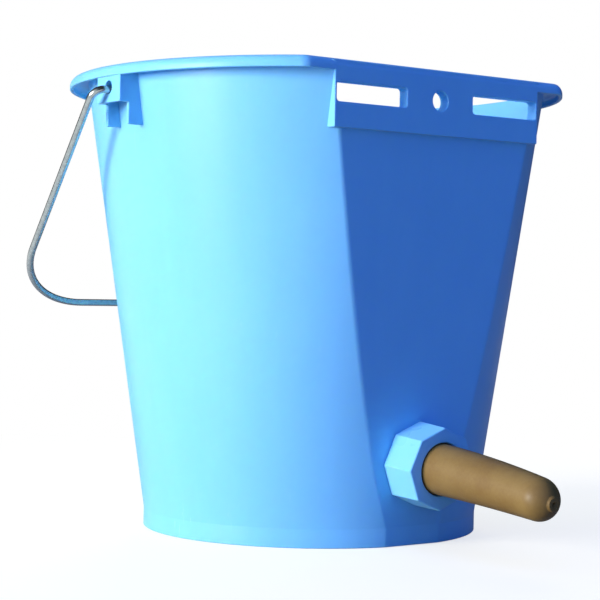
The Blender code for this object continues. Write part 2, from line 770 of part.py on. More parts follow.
def ball_retainer(look):
    """A ring in the mouth of the chamber, with a cross on the ball's side."""
    outer = CHAMBER_R - SEAT_GAP
    inner = outer - RETAINER_RING_W
    far = RETAINER_NEAR + RETAINER_T
    profile = [(outer, far), (outer, RETAINER_NEAR), (inner, RETAINER_NEAR), (inner, far)]
    ring = turned("ball_retainer", profile, VALVE_AXIS)
    reach = (inner + outer) / 2
    half = RETAINER_BAR_W / 2
    high = RETAINER_NEAR + RETAINER_BAR_T
    low = RETAINER_NEAR
    across = box("retainer_bar_across", (-reach, -half, low), (reach, half, high), VALVE_AXIS)
    upright = box("retainer_bar_upright", (-half, -reach, low), (half, reach, high), VALVE_AXIS)
    combine(ring, [helper(across), helper(upright)], "UNION")
    return finish(ring, look)


def build():
    blue = material("bucket_blue", (0.10, 0.42, 0.86), 0.35)
    nut_blue = material("nut_blue", (0.16, 0.52, 0.90), 0.35)
    wire = material("galvanised_wire", (0.55, 0.57, 0.58), 0.35, 1.0)
    brown = material("teat_brown", (0.30, 0.17, 0.06), 0.45)
    valve_white = material("valve_white", (0.80, 0.80, 0.78), 0.4)
    ball_white = material("ball_white", (0.85, 0.85, 0.82), 0.25)
    black = material("gasket_black", (0.03, 0.03, 0.03), 0.6)
    bucket_shell(blue)
    bail_handle(wire)
    teat(brown)
    teat_nut(nut_blue)
    valve_body(valve_white)
    flange_gasket(black)
    valve_ball(ball_white)
    ball_retainer(valve_white)


build()
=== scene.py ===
"""Looks of the calf feeding bucket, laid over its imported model.

The frame is in metres, +Z up, and the flat front with the teat faces -Y. Every new piece is a surface worked
out on a grid of rows and columns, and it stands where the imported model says.
"""

import json
import math
from functools import partial

import bmesh
import bpy
import numpy as np
from mathutils import Matrix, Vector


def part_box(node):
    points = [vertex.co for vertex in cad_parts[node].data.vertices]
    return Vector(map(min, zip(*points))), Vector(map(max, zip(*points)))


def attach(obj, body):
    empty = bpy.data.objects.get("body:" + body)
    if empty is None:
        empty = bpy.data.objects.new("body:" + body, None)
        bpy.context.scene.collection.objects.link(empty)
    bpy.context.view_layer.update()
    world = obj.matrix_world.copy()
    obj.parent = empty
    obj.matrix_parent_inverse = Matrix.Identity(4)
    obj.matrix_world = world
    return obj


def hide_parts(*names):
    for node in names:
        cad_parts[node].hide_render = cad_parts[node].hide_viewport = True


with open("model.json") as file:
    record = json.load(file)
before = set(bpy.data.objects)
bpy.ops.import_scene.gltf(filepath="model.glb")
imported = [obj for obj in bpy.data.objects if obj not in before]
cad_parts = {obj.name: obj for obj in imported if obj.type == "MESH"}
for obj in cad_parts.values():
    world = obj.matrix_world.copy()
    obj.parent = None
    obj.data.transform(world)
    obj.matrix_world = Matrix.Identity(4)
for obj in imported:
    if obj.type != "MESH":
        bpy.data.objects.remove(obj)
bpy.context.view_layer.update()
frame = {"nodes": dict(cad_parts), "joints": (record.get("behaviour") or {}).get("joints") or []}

bl_info = {
    "name": "Calf Feeding Bucket",
    "version": (1, 0, 0),
    "blender": (4, 5, 0),
    "location": "3D View > Sidebar > Feeding Bucket",
    "description": "Builds a calf feeding bucket with its bail, nut, teat and valve",
    "category": "Object",
}

MM = 0.001

# The round wall's axis stands behind the middle of the whole object by this much.
SHELL_LOW, SHELL_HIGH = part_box("bucket_shell")
AXIS_Y = SHELL_HIGH.y - (SHELL_HIGH.x - SHELL_LOW.x) / 2

# Steps and rows of the grids.
ROUND_STEPS = 168
CREASE_STEPS = 10
FLAT_STEPS = 12
WALL_STEPS = 12
EDGE_STEPS = 5
BAR_STEPS = 3
SLOT_STEPS = 6
HOLE_STEPS = 48
VALVE_HOLE_STEPS = 64
CORNER_STEPS = 6
SIDE_STEPS = 7
TEAT_STEPS = 72
TEAT_RING_ROWS = 25
TEAT_DOME_ROWS = 17
TEAT_SIDE_ROWS = 31
TEAT_BORE_ROWS = 13
BORE_DOME_ROWS = 9
VALVE_EDGE_STEPS = 4
WIRE_STEPS = 28
SHOULDER_BEND_STEPS = 16
CORNER_BEND_STEPS = 28
NUT_THREAD_ROWS = 44
SPIGOT_THREAD_ROWS = 56

# How far a cutter runs out past the wall, and the gap between two pieces that touch.
OVERRUN = 6 * MM
SEAT_GAP = 0.3 * MM

# A ring of points this far under the skirt's top keeps its bend tight.
SKIRT_BEND = 0.4 * MM

# How far an ear's plate reaches up into the rim's rounding, and how far its ribs stay back from its faces.
PLATE_SINK = 0.4 * MM
RIB_BACK = 0.6 * MM
HAIR = 0.02 * MM

NUT_BACK_EDGE = 0.5 * MM
NUT_CORNER_R = 1.2 * MM
NUT_THREAD_START = 1 * MM
VALVE_EDGE = 0.8 * MM
HUB_CORNER_R = 1.5 * MM
SPIGOT_THREAD_START = 0.8 * MM
GUIDE_EDGE = 0.3 * MM

# How much farther than its sides an octagon's corners move when it is drawn in.
SLANT = 1 / math.cos(math.pi / 8)

# The camera worked out from the photograph. Its distance from the wall's axis and its height are in heights of
# the bucket, and its angles are bearing, yaw, pitch and roll.
CAMERA_DISTANCE = 3.9572
CAMERA_HEIGHT = 0.5339
CAMERA_DEGREES = (-36.6094, 0.4078, -0.3059, 0.998)
FOCAL_PIXELS = 1730.682
PICTURE_PIXELS = 600
SENSOR_WIDTH = 36
LAMP_AIM_Z = 120 * MM


def amount(name, description, default, **more):
    return bpy.props.FloatProperty(name=name, description=description, default=default, min=0, **more)


def length(name, description, millimetres):
    return amount(name, description, millimetres * MM, unit="LENGTH", precision=4)


def colour(name, description, values):
    return bpy.props.FloatVectorProperty(
        name=name, description=description, default=values, size=3, min=0, max=1, subtype="COLOR"
    )


def group(kind, name, description):
    return bpy.props.PointerProperty(type=kind, name=name, description=description)


class BucketSizes(bpy.types.PropertyGroup):
    """Sizes of the moulded bucket."""

    rim_top: length("Height", "Height of the rim's top above the ground", 250)
    foot_h: length("Skirt height", "Height of the upright foot skirt", 10.25)
    foot_r: length("Foot radius", "Outer radius of the foot skirt", 94.05)
    wall_top_r: length("Wall radius", "Outer radius of the round wall at the rim's top", 129.4)
    wall_t: length("Wall", "Thickness of the round wall", 2.4)
    floor_z: length("Recess", "Height of the recess under the floor", 8.5)
    floor_t: length("Floor", "Thickness of the floor", 2.8)
    floor_fillet: length("Floor rounding", "Radius between the floor and the wall inside", 4)
    skirt_t: length("Skirt", "Thickness of the foot skirt", 2.6)
    face_foot_depth: length("Flat at the foot", "How deep the flat front cuts in at the foot", 1.75)
    face_top_depth: length("Flat at the top", "How deep the flat front cuts in at the rim", 20.5)
    face_t: length("Front", "Thickness of the flat front", 3)
    crease_foot_r: length("Crease at the foot", "Rounding of the front's two edges at the foot", 9.5)
    crease_top_r: length("Crease at the top", "Rounding of the front's two edges at the rim", 4.5)
    rim_w: length("Rim width", "How far the rim stands out from the wall", 9.9)
    rim_proud: length("Rim in front", "How far the rim stands out from the flat front", 0.3)
    rim_corner_r: length("Rim corner", "Rounding of the rim's two corners, seen from above", 9)
    rim_edge_r: length("Rim edge", "Rounding of the rim's upper edge", 4.5)
    rim_t: length("Rim thickness", "Thickness of the rim's flange", 2.4)
    lip_h: length("Lip height", "How far the rim's lip hangs down from its top", 6.3)
    lip_t: length("Lip", "Thickness of the rim's lip", 2.2)
    band_half: length("Band half width", "Half the width of the hanging band", 69.3)
    band_drop: length("Band drop", "From the rim's top down to the band's lower edge", 34.6)
    band_back_drop: length("Band backing", "From the rim's top to where the wall starts to thicken", 50.6)
    band_t: length("Band", "Thickness of the hanging band", 6.8)
    slot_inner: length("Slot start", "Distance of a hanging slot from the middle", 22.5)
    slot_web: length("Slot web", "Thickness of the thin wall that closes a slot's outer end", 1.4)
    slot_drop: length("Slot drop", "From the rim's top down to a slot's roof", 11.7)
    slot_h: length("Slot height", "Height of a hanging slot", 10)
    slot_corner: length("Slot corner", "Rounding of a slot's inner corners", 1.8)
    hole_drop: length("Hole drop", "From the rim's top to the middle of the round hole", 16.6)
    hole_r: length("Hole radius", "Radius of the round hole in the band", 5.2)
    ear_w: length("Ear width", "Width of a bail ear", 23.6)
    ear_inset: length("Ear inset", "How far an ear's plate stands inside the rim's edge", 1.1)
    ear_t: length("Ear plate", "Thickness of an ear's plate", 2.6)
    ear_drop: length("Ear drop", "From the rim's top to the lower edge of an ear's plate", 20)
    rib_inset: length("Rib inset", "How far an ear's ribs stand inside the rim's edge", 6.6)
    rib_drop: length("Rib drop", "From the rim's top to the lower end of an ear's ribs", 31.5)
    rib_t: length("Rib", "Thickness of an ear's rib", 2.4)
    bail_hole_drop: length("Bail hole drop", "From the rim's top to the middle of the bail's hole", 12)
    bail_hole_r: length("Bail hole", "Radius of the hole in an ear", 3.5)
    edge_r: length("Small edges", "Rounding of the edges of the band, the ears and the openings", 0.6)


class BailSizes(bpy.types.PropertyGroup):
    """Sizes of the wire bail."""

    wire_r: length("Wire radius", "Half the thickness of the wire", 2)
    drop: length("Drop", "From the hinge line to the grip", 162.6)
    shoulder_proud: length("Shoulder", "How far the bail's shoulders stand out from the ears", 8.4)
    draw_in: length("Draw in", "How far the bail narrows from its shoulders to its corners", 14.5)
    shoulder_r: length("Shoulder bend", "Radius of the bend at a shoulder", 6)
    corner_r: length("Corner bend", "Radius of the bend at a lower corner", 49)
    end: length("End", "How far an end reaches in past the ear's plate", 5.6)


class NutSizes(bpy.types.PropertyGroup):
    """Sizes of the nut, the teat and the valve, counted outwards from the flat front."""

    height: length("Height", "Height of the valve where it leaves the front", 43.6)
    spigot_r: length("Spigot radius", "Radius of the threaded spigot", 15.7)
    spigot_end: length("Spigot", "How far the spigot stands out", 13.2)
    chamber_r: length("Chamber", "Radius of the ball's chamber", 9)
    flange_r: length("Inner flange", "Radius of the flange inside the bucket", 21)
    flange_t: length("Inner flange thickness", "Thickness of the flange inside the bucket", 3)
    gasket_t: length("Gasket", "Thickness of the flat gasket", 2)
    hub_r: length("Hub", "Radius of the eight-sided hub inside the bucket", 13)
    hub_h: length("Hub height", "Height of the eight-sided hub", 5)
    inlet_r: length("Inlet", "Radius of the milk's inlet", 4.2)
    inlet_mouth_r: length("Inlet mouth", "Radius of the inlet's mouth", 6.5)
    ball_r: length("Ball", "Radius of the valve's ball", 6.5)
    ball_travel: length("Ball travel", "How far the ball slides to its seat", 5)
    guide_t: length("Guide", "Thickness of a rib that guides the ball", 1.6)
    retainer_t: length("Retainer", "Height of the ball's retainer", 3.6)
    nut_end: length("Nut end", "How far the nut stands out", 21.2)
    nut_lip_t: length("Nut lip", "Thickness of the nut's front lip", 4.2)
    nut_back_r: length("Nut at the wall", "Radius over the nut's corners at the wall", 22.4)
    nut_front_r: length("Nut at its front", "Radius over the nut's corners at its front", 21.9)
    nut_edge_r: length("Nut edge", "Rounding of the nut's edges", 0.9)
    pitch: length("Thread pitch", "Distance from one turn of the thread to the next", 2.5)
    thread_h: length("Thread height", "Height of the thread", 0.45)
    teat_flange_t: length("Teat flange", "Thickness of the flange of the teat", 3.2)
    teat_base_r: length("Teat base", "Radius of the teat at the nut", 13.3)
    teat_tip_r: length("Teat tip", "Radius of the teat where its dome starts", 10.95)
    teat_length: length("Teat length", "How far the teat stands out from the nut", 82)
    teat_dome_h: length("Teat dome", "Length of the teat's rounded end", 11)
    bore_base_r: length("Teat bore", "Radius of the teat's bore at the nut", 9.2)
    bore_tip_r: length("Teat bore at the tip", "Radius of the bore near the tip", 7.6)
    tip_wall: length("Tip wall", "Thickness of the rubber at the tip", 5)
    ring_r: length("Tip ring", "Outer radius of the raised ring on the tip", 4.3)
    ring_h: length("Tip ring height", "Height of the raised ring on the tip", 0.5)
    hole_r: length("Teat hole", "Radius of the hole in the tip", 1)
    sag: length("Sag", "How far the teat's tip hangs down", 3.5)


class Finishes(bpy.types.PropertyGroup):
    """Colours of the pieces."""

    bucket: colour("Bucket", "Blue of the moulded bucket", (0.250, 0.665, 0.960))
    bucket_deep: colour("Bucket, deep", "Blue where the plastic is a little denser", (0.238, 0.640, 0.945))
    # The nut is the bucket's plastic; its blue is made a little lighter as painted light, for its facets that turn
    # to the key lamp.
    nut: colour("Nut", "Blue of the nut", (0.275, 0.700, 0.965))
    nut_deep: colour("Nut, deep", "Blue in the denser places of the nut", (0.262, 0.680, 0.955))
    teat: colour("Teat", "Brown of the rubber teat", (0.305, 0.184, 0.046))
    teat_deep: colour("Teat, deep", "Brown in the darker places of the teat", (0.235, 0.130, 0.029))
    wire: colour("Wire", "Grey of the galvanised wire", (0.470, 0.520, 0.520))
    wire_deep: colour("Wire, deep", "Grey between the crystals of the zinc", (0.350, 0.395, 0.405))
    valve: colour("Valve", "White of the valve and its retainer", (0.760, 0.760, 0.730))
    gasket: colour("Gasket", "Black of the gasket", (0.025, 0.025, 0.026))


class StageSizes(bpy.types.PropertyGroup):
    """Floor and light round the bucket."""

    floor_size: length("Floor", "Side of the square floor", 16000)
    key_power: amount("Key lamp", "Power of the lamp on the left", 58, unit="POWER")
    fill_power: amount("Fill lamp", "Power of the lamp beside the camera", 1.3, unit="POWER")
    back_power: amount("Back lamp", "Power of the weak lamp behind the right side", 20, unit="POWER")
    surroundings: amount("Surroundings", "Brightness of the room on the object", 1.02)


class Workbench(bpy.types.PropertyGroup):
    """All that the operators read."""

    bucket: group(BucketSizes, "Bucket", "The moulding")
    bail: group(BailSizes, "Bail", "The wire")
    nut: group(NutSizes, "Nut", "Nut, teat and valve")
    finish: group(Finishes, "Finish", "The colours")
    stage: group(StageSizes, "Stage", "Floor and light")


# Paths and angles


def quarter(steps):
    """Angles of a quarter turn."""
    return np.linspace(0, np.pi / 2, steps + 1)


def four_quarters(steps):
    """Angles of the arcs at the four corners of a rounded rectangle."""
    return (np.arange(4)[:, None] * np.pi / 2 + quarter(steps)).ravel()


def rounding(radius, steps=EDGE_STEPS):
    """Both coordinates of a rounded edge: r (1 - sin a) falls from r to 0, and r (1 - cos a) grows to r."""
    turn = quarter(steps)
    return radius * (1 - np.sin(turn)), radius * (1 - np.cos(turn))


def chained(*parts):
    """Joins the parts of a path. A part gives each coordinate as one value or as a row of values."""
    parts = [np.broadcast_arrays(*map(np.atleast_1d, part)) for part in parts]
    return [np.concatenate(column) for column in zip(*parts)]


def directions(angle):
    return np.stack([np.cos(angle), np.sin(angle)], axis=-1)


def spokes(steps):
    """The directions (cos a, sin a) of one whole turn in equal steps."""
    return directions(np.linspace(0, 2 * np.pi, steps, endpoint=False))


def turned(x, y, angle):
    """Two coordinates, or two axes, turned by an angle: x cos a - y sin a and x sin a + y cos a."""
    return x * math.cos(angle) - y * math.sin(angle), x * math.sin(angle) + y * math.cos(angle)


def lifted(flat, height):
    """Rows of plane points, each row lifted to its own height."""
    return np.concatenate([flat, np.broadcast_to(height[:, None, None], (*flat.shape[:2], 1))], axis=-1)


# Meshes


def linked(name, data):
    made = bpy.data.objects.new(name, data)
    bpy.context.scene.collection.objects.link(made)
    return made


def mesh_object(name, points, faces):
    mesh = bpy.data.meshes.new(name)
    mesh.from_pydata(np.asarray(points).reshape(-1, 3).tolist(), [], faces)
    return linked(name, mesh)


def grid_faces(rows, columns, closed_rows=False):
    """Four-cornered faces between the neighbours of a grid that closes round its columns."""
    row = np.arange(rows if closed_rows else rows - 1)[:, None]
    here = np.arange(columns)[None, :]
    above = (row + 1) % rows
    there = (here + 1) % columns
    corners = (row * columns + here, row * columns + there, above * columns + there, above * columns + here)
    return np.stack([np.broadcast_to(c, (row.size, columns)) for c in corners], axis=-1).reshape(-1, 4)


def turn_faces_out(mesh, weld=0.0):
    bm = bmesh.new()
    bm.from_mesh(mesh)
    if weld:
        bmesh.ops.remove_doubles(bm, verts=bm.verts, dist=weld)
    bmesh.ops.recalc_face_normals(bm, faces=bm.faces)
    bm.to_mesh(mesh)
    bm.free()


def solid(name, rings):
    """A closed solid through rows of points, with a flat end on its first and on its last row."""
    rows, columns = rings.shape[:2]
    quads = grid_faces(rows, columns)
    faces = np.concatenate([quads[:, [0, 1, 2]], quads[:, [0, 2, 3]]]).tolist()
    faces += [list(range(columns)), list(range((rows - 1) * columns, rows * columns))]
    made = mesh_object(name, rings, faces)
    turn_faces_out(made.data)
    return made


def wrapped(name, rings, closed_rows=True):
    """A surface through rows of points, with a map of its turn (0 to 1) and its length in metres."""
    rows, columns = rings.shape[:2]
    quads = grid_faces(rows, columns, closed_rows)
    faces = quads.tolist()
    if not closed_rows:
        faces += [list(range(columns))[::-1], list(range((rows - 1) * columns, rows * columns))]
    made = mesh_object(name, rings, faces)
    first = rings[:, 0]
    steps = np.linalg.norm(np.diff(first, axis=0, append=first[:1]), axis=1)
    along = np.concatenate([[0], np.cumsum(steps)])
    row, turn = np.divmod(np.arange(quads.shape[0]), columns)
    u = np.stack([turn, turn + 1, turn + 1, turn], axis=-1) / columns
    v = np.stack([along[row], along[row], along[row + 1], along[row + 1]], axis=-1)
    corners = np.stack([u, v], axis=-1).reshape(-1, 2)
    spare = sum(len(face) for face in faces) - corners.shape[0]
    layer = made.data.uv_layers.new(name="surface")
    layer.data.foreach_set("uv", np.concatenate([corners, np.zeros((spare, 2))]).ravel())
    turn_faces_out(made.data)
    return made


def carved(body, joined, cut):
    """The body with some solids joined to it and others cut out of it, as one plain mesh."""
    for operation, solids in (("UNION", joined), ("DIFFERENCE", cut)):
        others = bpy.data.collections.new(operation.lower())
        for other in solids:
            others.objects.link(other)
        boolean = body.modifiers.new(operation.lower(), "BOOLEAN")
        boolean.operation = operation
        boolean.solver = "EXACT"
        boolean.operand_type = "COLLECTION"
        boolean.collection = others
    bpy.context.view_layer.update()
    mesh = bpy.data.meshes.new_from_object(body.evaluated_get(bpy.context.evaluated_depsgraph_get()))
    mesh.name = body.name
    body.modifiers.clear()
    body.data = mesh
    for other in joined + cut:
        bpy.data.objects.remove(other, do_unlink=True)
    turn_faces_out(mesh, weld=0.002 * MM)
    return body


def smooth(obj, sharp_degrees):
    """Smooth shading between the edges that are sharper than an angle, led by the larger faces."""
    obj.data.shade_smooth()
    obj.data.set_sharp_from_angle(angle=math.radians(sharp_degrees))
    obj.modifiers.new("weighted normals", "WEIGHTED_NORMAL").keep_sharp = True
    return obj


def repaint(obj, material):
    obj.data.materials.clear()
    obj.data.materials.append(material)


def finished(obj, material, body, slot, *nodes):
    repaint(obj, material)
    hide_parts(*nodes)
    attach(obj, body)


# Shapes of the bucket


def up_the_cone(size, z, foot, top):
    """A value that changes evenly from the top of the skirt to the rim's top, and keeps its first value below."""
    share = np.maximum(0, z - size.foot_h) / (size.rim_top - size.foot_h)
    return foot + (top - foot) * share


# The round wall's radius, the flat front's distance from the axis, and the rounding of the front's two edges.


def wall_radius(size, z):
    return up_the_cone(size, z, size.foot_r, size.wall_top_r)


def wall_face(size, z):
    return up_the_cone(size, z, size.foot_r - size.face_foot_depth, size.wall_top_r - size.face_top_depth)


def wall_crease(size, z):
    return up_the_cone(size, z, size.crease_foot_r, size.crease_top_r)


# The rim's outer radius, and how far its front and the plates of the ears stand from the axis.


def rim_radius(size):
    return size.wall_top_r + size.rim_w


def rim_face(size):
    return size.wall_top_r - size.face_top_depth + size.rim_proud


def ear_face(size):
    return rim_radius(size) - size.ear_inset


def d_sections(radius, face, corner, height):
    """Rows of points round D-shaped sections, one row for each height.

    The round side is r (cos a, sin a) for a from -t to pi + t. Each corner is an arc of radius c about
    (x, c - f), where x is the root of (r - c)^2 - (f - c)^2, and t is the angle of that centre seen from the
    axis. A straight run at y = -f joins the two corners.
    """
    radius, face, corner, height = [
        column[:, None] for column in np.broadcast_arrays(*map(np.atleast_1d, (radius, face, corner, height)))
    ]
    centre_y = face - corner
    centre_x = np.sqrt((radius - corner) ** 2 - centre_y**2)
    turn = np.arctan2(centre_y, centre_x)
    side = -turn + (np.pi + 2 * turn) * np.linspace(0, 1, ROUND_STEPS + 1)
    share = np.linspace(0, 1, CREASE_STEPS + 1)
    left = np.pi + turn + (np.pi / 2 - turn) * share[1:]
    right = (np.pi / 2 - turn) * share[:-1] - np.pi / 2
    flat = centre_x * np.linspace(-1, 1, FLAT_STEPS + 1)[1:-1]
    parts = (
        (radius * np.cos(side), radius * np.sin(side)),
        (corner * np.cos(left) - centre_x, corner * np.sin(left) - centre_y),
        (flat, -face + 0 * flat),
        (corner * np.cos(right) + centre_x, corner * np.sin(right) - centre_y),
    )
    x, y = [np.concatenate(column, axis=1) for column in zip(*parts)]
    return np.stack([x, y + AXIS_Y, np.broadcast_to(height, x.shape)], axis=-1)


def outer_wall(size):
    """The outside of the moulding, as one path from the recess under the floor over the foot to the top."""
    fall, gain = rounding(size.edge_r)
    cone = np.linspace(size.foot_h, size.rim_top - size.rim_t / 2, WALL_STEPS + 1)
    inset, z = chained(
        (size.skirt_t, [size.floor_z, size.edge_r]),
        (size.skirt_t - gain, fall),
        (fall, gain),
        (0, [size.foot_h - SKIRT_BEND, size.foot_h]),
        (0, cone[1:]),
    )
    radius, face, corner = [side(size, z) - inset for side in (wall_radius, wall_face, wall_crease)]
    return solid("bucket_moulding", d_sections(radius, face, corner, z))


def rim(size):
    """The flange and its lip as one path: groove roof, groove side, lip, outer side and rounded upper edge."""
    low = size.rim_top - size.lip_h
    fall, gain = rounding(size.edge_r)
    groove_fall, groove_gain = rounding(size.rim_edge_r - size.lip_t, 2 * EDGE_STEPS)
    top_fall, top_gain = rounding(size.rim_edge_r, 2 * EDGE_STEPS)
    inset, z = chained(
        (size.lip_t + groove_gain[::-1], size.rim_top - size.rim_t - groove_fall[::-1]),
        (size.lip_t - gain, low + fall),
        (fall, low + gain),
        (top_gain, size.rim_top - top_fall),
    )
    return solid("rim", d_sections(rim_radius(size) - inset, rim_face(size) - inset, size.rim_corner_r - inset, z))


def inner_face(size, z):
    """The front's inner side leans with the outer one, then thickens the wall up to the band's back."""
    start_z = size.rim_top - size.band_back_drop
    end_z = size.rim_top - size.band_drop
    start = wall_face(size, start_z) - size.face_t
    share = np.clip((z - start_z) / (end_z - start_z), 0, 1)
    thick = start + share * (rim_face(size) - size.band_t - start)
    return np.where(z <= start_z, wall_face(size, z) - size.face_t, thick)


def cavity(size):
    """The inside of the bucket: rounded edge of the floor, walls, and rounded edge of the mouth."""
    fall, gain = rounding(size.edge_r)
    turn = quarter(2 * EDGE_STEPS)
    start = size.floor_z + size.floor_t + size.floor_fillet
    wall = np.linspace(start, size.rim_top - size.band_back_drop, WALL_STEPS)
    inset, z = chained(
        (size.floor_fillet * (1 - np.sin(turn)), start - size.floor_fillet * np.cos(turn)),
        (0, wall[1:]),
        (0, [size.rim_top - size.band_drop, size.rim_top - size.edge_r]),
        (-gain[1:], size.rim_top - fall[1:]),
        (-size.edge_r, size.rim_top + OVERRUN),
    )
    under = np.minimum(z, size.rim_top)
    radius = wall_radius(size, under) - size.wall_t - inset
    corner = wall_crease(size, under) - size.wall_t - inset
    return solid("cavity", d_sections(radius, inner_face(size, under) - inset, corner, z))


def bar(name, low, high, along, edge, placed=np.asarray):
    """A box between two corners with all its edges rounded, which a function may place elsewhere.

    Its rows run along one axis. Each row is a rectangle drawn in by d, its corners rounded by e - d / 2 with
    d = e (1 - sin a) at the distance e (1 - cos a) from an end.
    """
    fall, gain = rounding(edge, BAR_STEPS)
    low, high = np.minimum(low, high), np.maximum(low, high)
    draw = np.concatenate([fall, fall[::-1]])[:, None]
    corner = edge - draw / 2
    sides = np.repeat([[1, 1], [-1, 1], [-1, -1], [1, -1]], fall.size, axis=0)
    angle = four_quarters(BAR_STEPS)
    points = np.empty((draw.size, angle.size, 3))
    points[..., along] = np.concatenate([low[along] + gain, high[along] - gain[::-1]])[:, None]
    cross = [axis for axis in range(3) if axis != along]
    for axis, side, round_part in zip(cross, sides.T, (np.cos(angle), np.sin(angle))):
        middle = (low[axis] + high[axis]) / 2
        half = (high[axis] - low[axis]) / 2
        points[..., axis] = middle + side * (half - draw - corner) + corner * round_part
    return solid(name, placed(points))


def tunnel(name, outline, near, far, edge, along):
    """A cutter that leaves a rounded edge on both sides of the wall that it goes through.

    Its rows are one outline, grown by e (1 - sin a) at the depth e (1 - cos a) from either side of the wall.
    """
    fall, gain = rounding(edge)
    place, growth = chained(
        (near - OVERRUN, edge), (near + gain, fall), ((far - gain)[::-1], fall[::-1]), (far + OVERRUN, edge)
    )
    rows = np.stack([outline(value) for value in growth])
    points = np.empty((*rows.shape[:2], 3))
    points[..., [axis for axis in range(3) if axis != along]] = rows
    points[..., along] = place[:, None]
    return solid(name, points)


def circle(middle, radius):
    """The outline of a round hole, as a function of how much it is grown."""
    way = spokes(HOLE_STEPS)
    return lambda grown: np.asarray(middle) + (radius + grown) * way


def slot_outline(size, side):
    """The outline of a hanging slot: a rectangle with rounded corners, as a function of how much it is grown."""
    corner = size.slot_corner
    high = size.rim_top - size.slot_drop - corner
    low = high - size.slot_h + 2 * corner
    inner = size.slot_inner + corner
    outer = size.band_half - size.slot_web - corner
    centre = np.repeat([(outer, high), (inner, high), (inner, low), (outer, low)], SLOT_STEPS + 1, axis=0)
    way = directions(four_quarters(SLOT_STEPS))
    return lambda grown: (centre + (corner + grown) * way) * (side, 1)


def band(size):
    """The hanging band in two bars: one flush with the rim's front, and one that fills the rim's groove."""
    edge = size.edge_r
    front = AXIS_Y - rim_face(size)
    back = front + size.band_t + OVERRUN
    low = size.rim_top - size.band_drop
    lip = size.rim_top - size.lip_h + 2 * edge
    roof = size.rim_top - size.rim_t / 2
    inside = size.band_half - edge
    return [
        bar("band_front", (-size.band_half, front, low), (size.band_half, back, lip), 1, edge),
        bar("band_back", (-inside, front + size.lip_t, low + edge), (inside, back, roof), 1, edge),
    ]


def ears(size, ear_y):
    """Two bail ears, each a plate under the lip and two ribs that carry it."""
    face = ear_face(size)
    rib = rim_radius(size) - size.rib_inset
    rib_low = size.rim_top - size.rib_drop
    plate_low = size.rim_top - size.ear_drop
    plate_top = size.rim_top - size.rim_edge_r + PLATE_SINK
    deep = wall_radius(size, rib_low) - size.wall_t - OVERRUN
    roof = size.rim_top - size.rim_t / 2
    half = size.ear_w / 2
    solids = []
    for side in (-1, 1):
        low = (side * (face - size.ear_t), ear_y - half, plate_low)
        solids.append(bar("ear_plate", low, (side * face, ear_y + half, plate_top), 0, size.edge_r))
        for end in (-1, 1):
            outer = ear_y + end * (half - HAIR)
            inner = ear_y + end * (half - size.rib_t)
            low = (side * deep, inner, rib_low)
            solids.append(bar("ear_rib", low, (side * rib, outer, roof), 0, size.edge_r))
            low = (side * deep, inner, plate_low + HAIR)
            solids.append(bar("ear_rib_top", low, (side * (face - RIB_BACK), outer, plate_top), 0, size.edge_r))
    return solids


def openings(size, ear_y):
    """Cutters of the hanging slots, the round hole and the bail's holes."""
    front = AXIS_Y - rim_face(size)
    band_holes = [("slot", slot_outline(size, side)) for side in (-1, 1)]
    band_holes.append(("hanging_hole", circle((0, size.rim_top - size.hole_drop), size.hole_r)))
    solids = [tunnel(name, hole, front, front + size.band_t, size.edge_r, 1) for name, hole in band_holes]
    plate = ear_face(size)
    bail = circle((ear_y, size.rim_top - size.bail_hole_drop), size.bail_hole_r)
    for side in (-1, 1):
        near, far = sorted((side * plate, side * (plate - size.ear_t)))
        solids.append(tunnel("bail_hole", bail, near, far, size.edge_r / 2, 0))
    return solids


def valve_hole(size, nut):
    """The cutter of the valve's hole in the flat front."""
    hole = np.broadcast_to((nut.spigot_r + SEAT_GAP) * spokes(VALVE_HOLE_STEPS), (2, VALVE_HOLE_STEPS, 2))
    ends = np.array([-1, 1]) * (size.face_t + OVERRUN)
    return solid("valve_hole", on_valve_axis(lifted(hole, ends), size, nut))


def bail_hinge(bucket, bail):
    """The hinge line's y and z. The wire lies on the lower edge of the ear's hole, a seat gap above it."""
    hole = bucket.rim_top - bucket.bail_hole_drop
    for joint in frame["joints"]:
        if joint["name"] == "bail_swing":
            return joint["pos_m"][1], hole - (bucket.bail_hole_r - bail.wire_r - SEAT_GAP)
    raise RuntimeError("the packed record has no bail_swing joint")


# Shapes round the valve's axis


def on_valve_axis(points, bucket, nut):
    """Stands points, given with z outwards along the valve's axis and y up, on the flat front, which leans out."""
    lean_out = wall_face(bucket, bucket.rim_top) - wall_face(bucket, bucket.foot_h)
    x, y, z = np.moveaxis(points, -1, 0)
    up, out = turned(y, z, math.atan(lean_out / (bucket.rim_top - bucket.foot_h)))
    return np.stack([x, AXIS_Y - wall_face(bucket, nut.height) - out, nut.height + up], axis=-1)


def eight_sided(radius, corner):
    """Rows of points round rounded octagons: an arc at each corner and a straight run between two arcs."""
    half = math.pi / 8
    centre = np.atleast_1d(radius)[:, None, None, None] - corner * SLANT
    arcs = np.linspace(-half, half, CORNER_STEPS + 1)
    middle = np.arange(8)[:, None] * math.pi / 4
    bend = centre * directions(middle) + corner * directions(middle + arcs)
    end = bend[:, :, -1:]
    start = np.roll(bend[:, :, :1], -1, axis=1)
    straight = end + (start - end) * np.linspace(0, 1, SIDE_STEPS + 1)[1:-1, None]
    return np.concatenate([bend, straight], axis=2).reshape(len(bend), -1, 2)


def mixed_rings(corner, *path):
    """Rows of points round an axis, for a path of radius, height and whether its rows are octagons or circles.

    A circle's points lie at the angles of an octagon's, so that the rows match.
    """
    radius, height, flats = chained(*path)
    guide = eight_sided(20 * MM, MM)[0]
    circles = radius[:, None, None] * guide / np.linalg.norm(guide, axis=1)[:, None]
    return lifted(np.where(flats[:, None, None], eight_sided(radius, corner), circles), height)


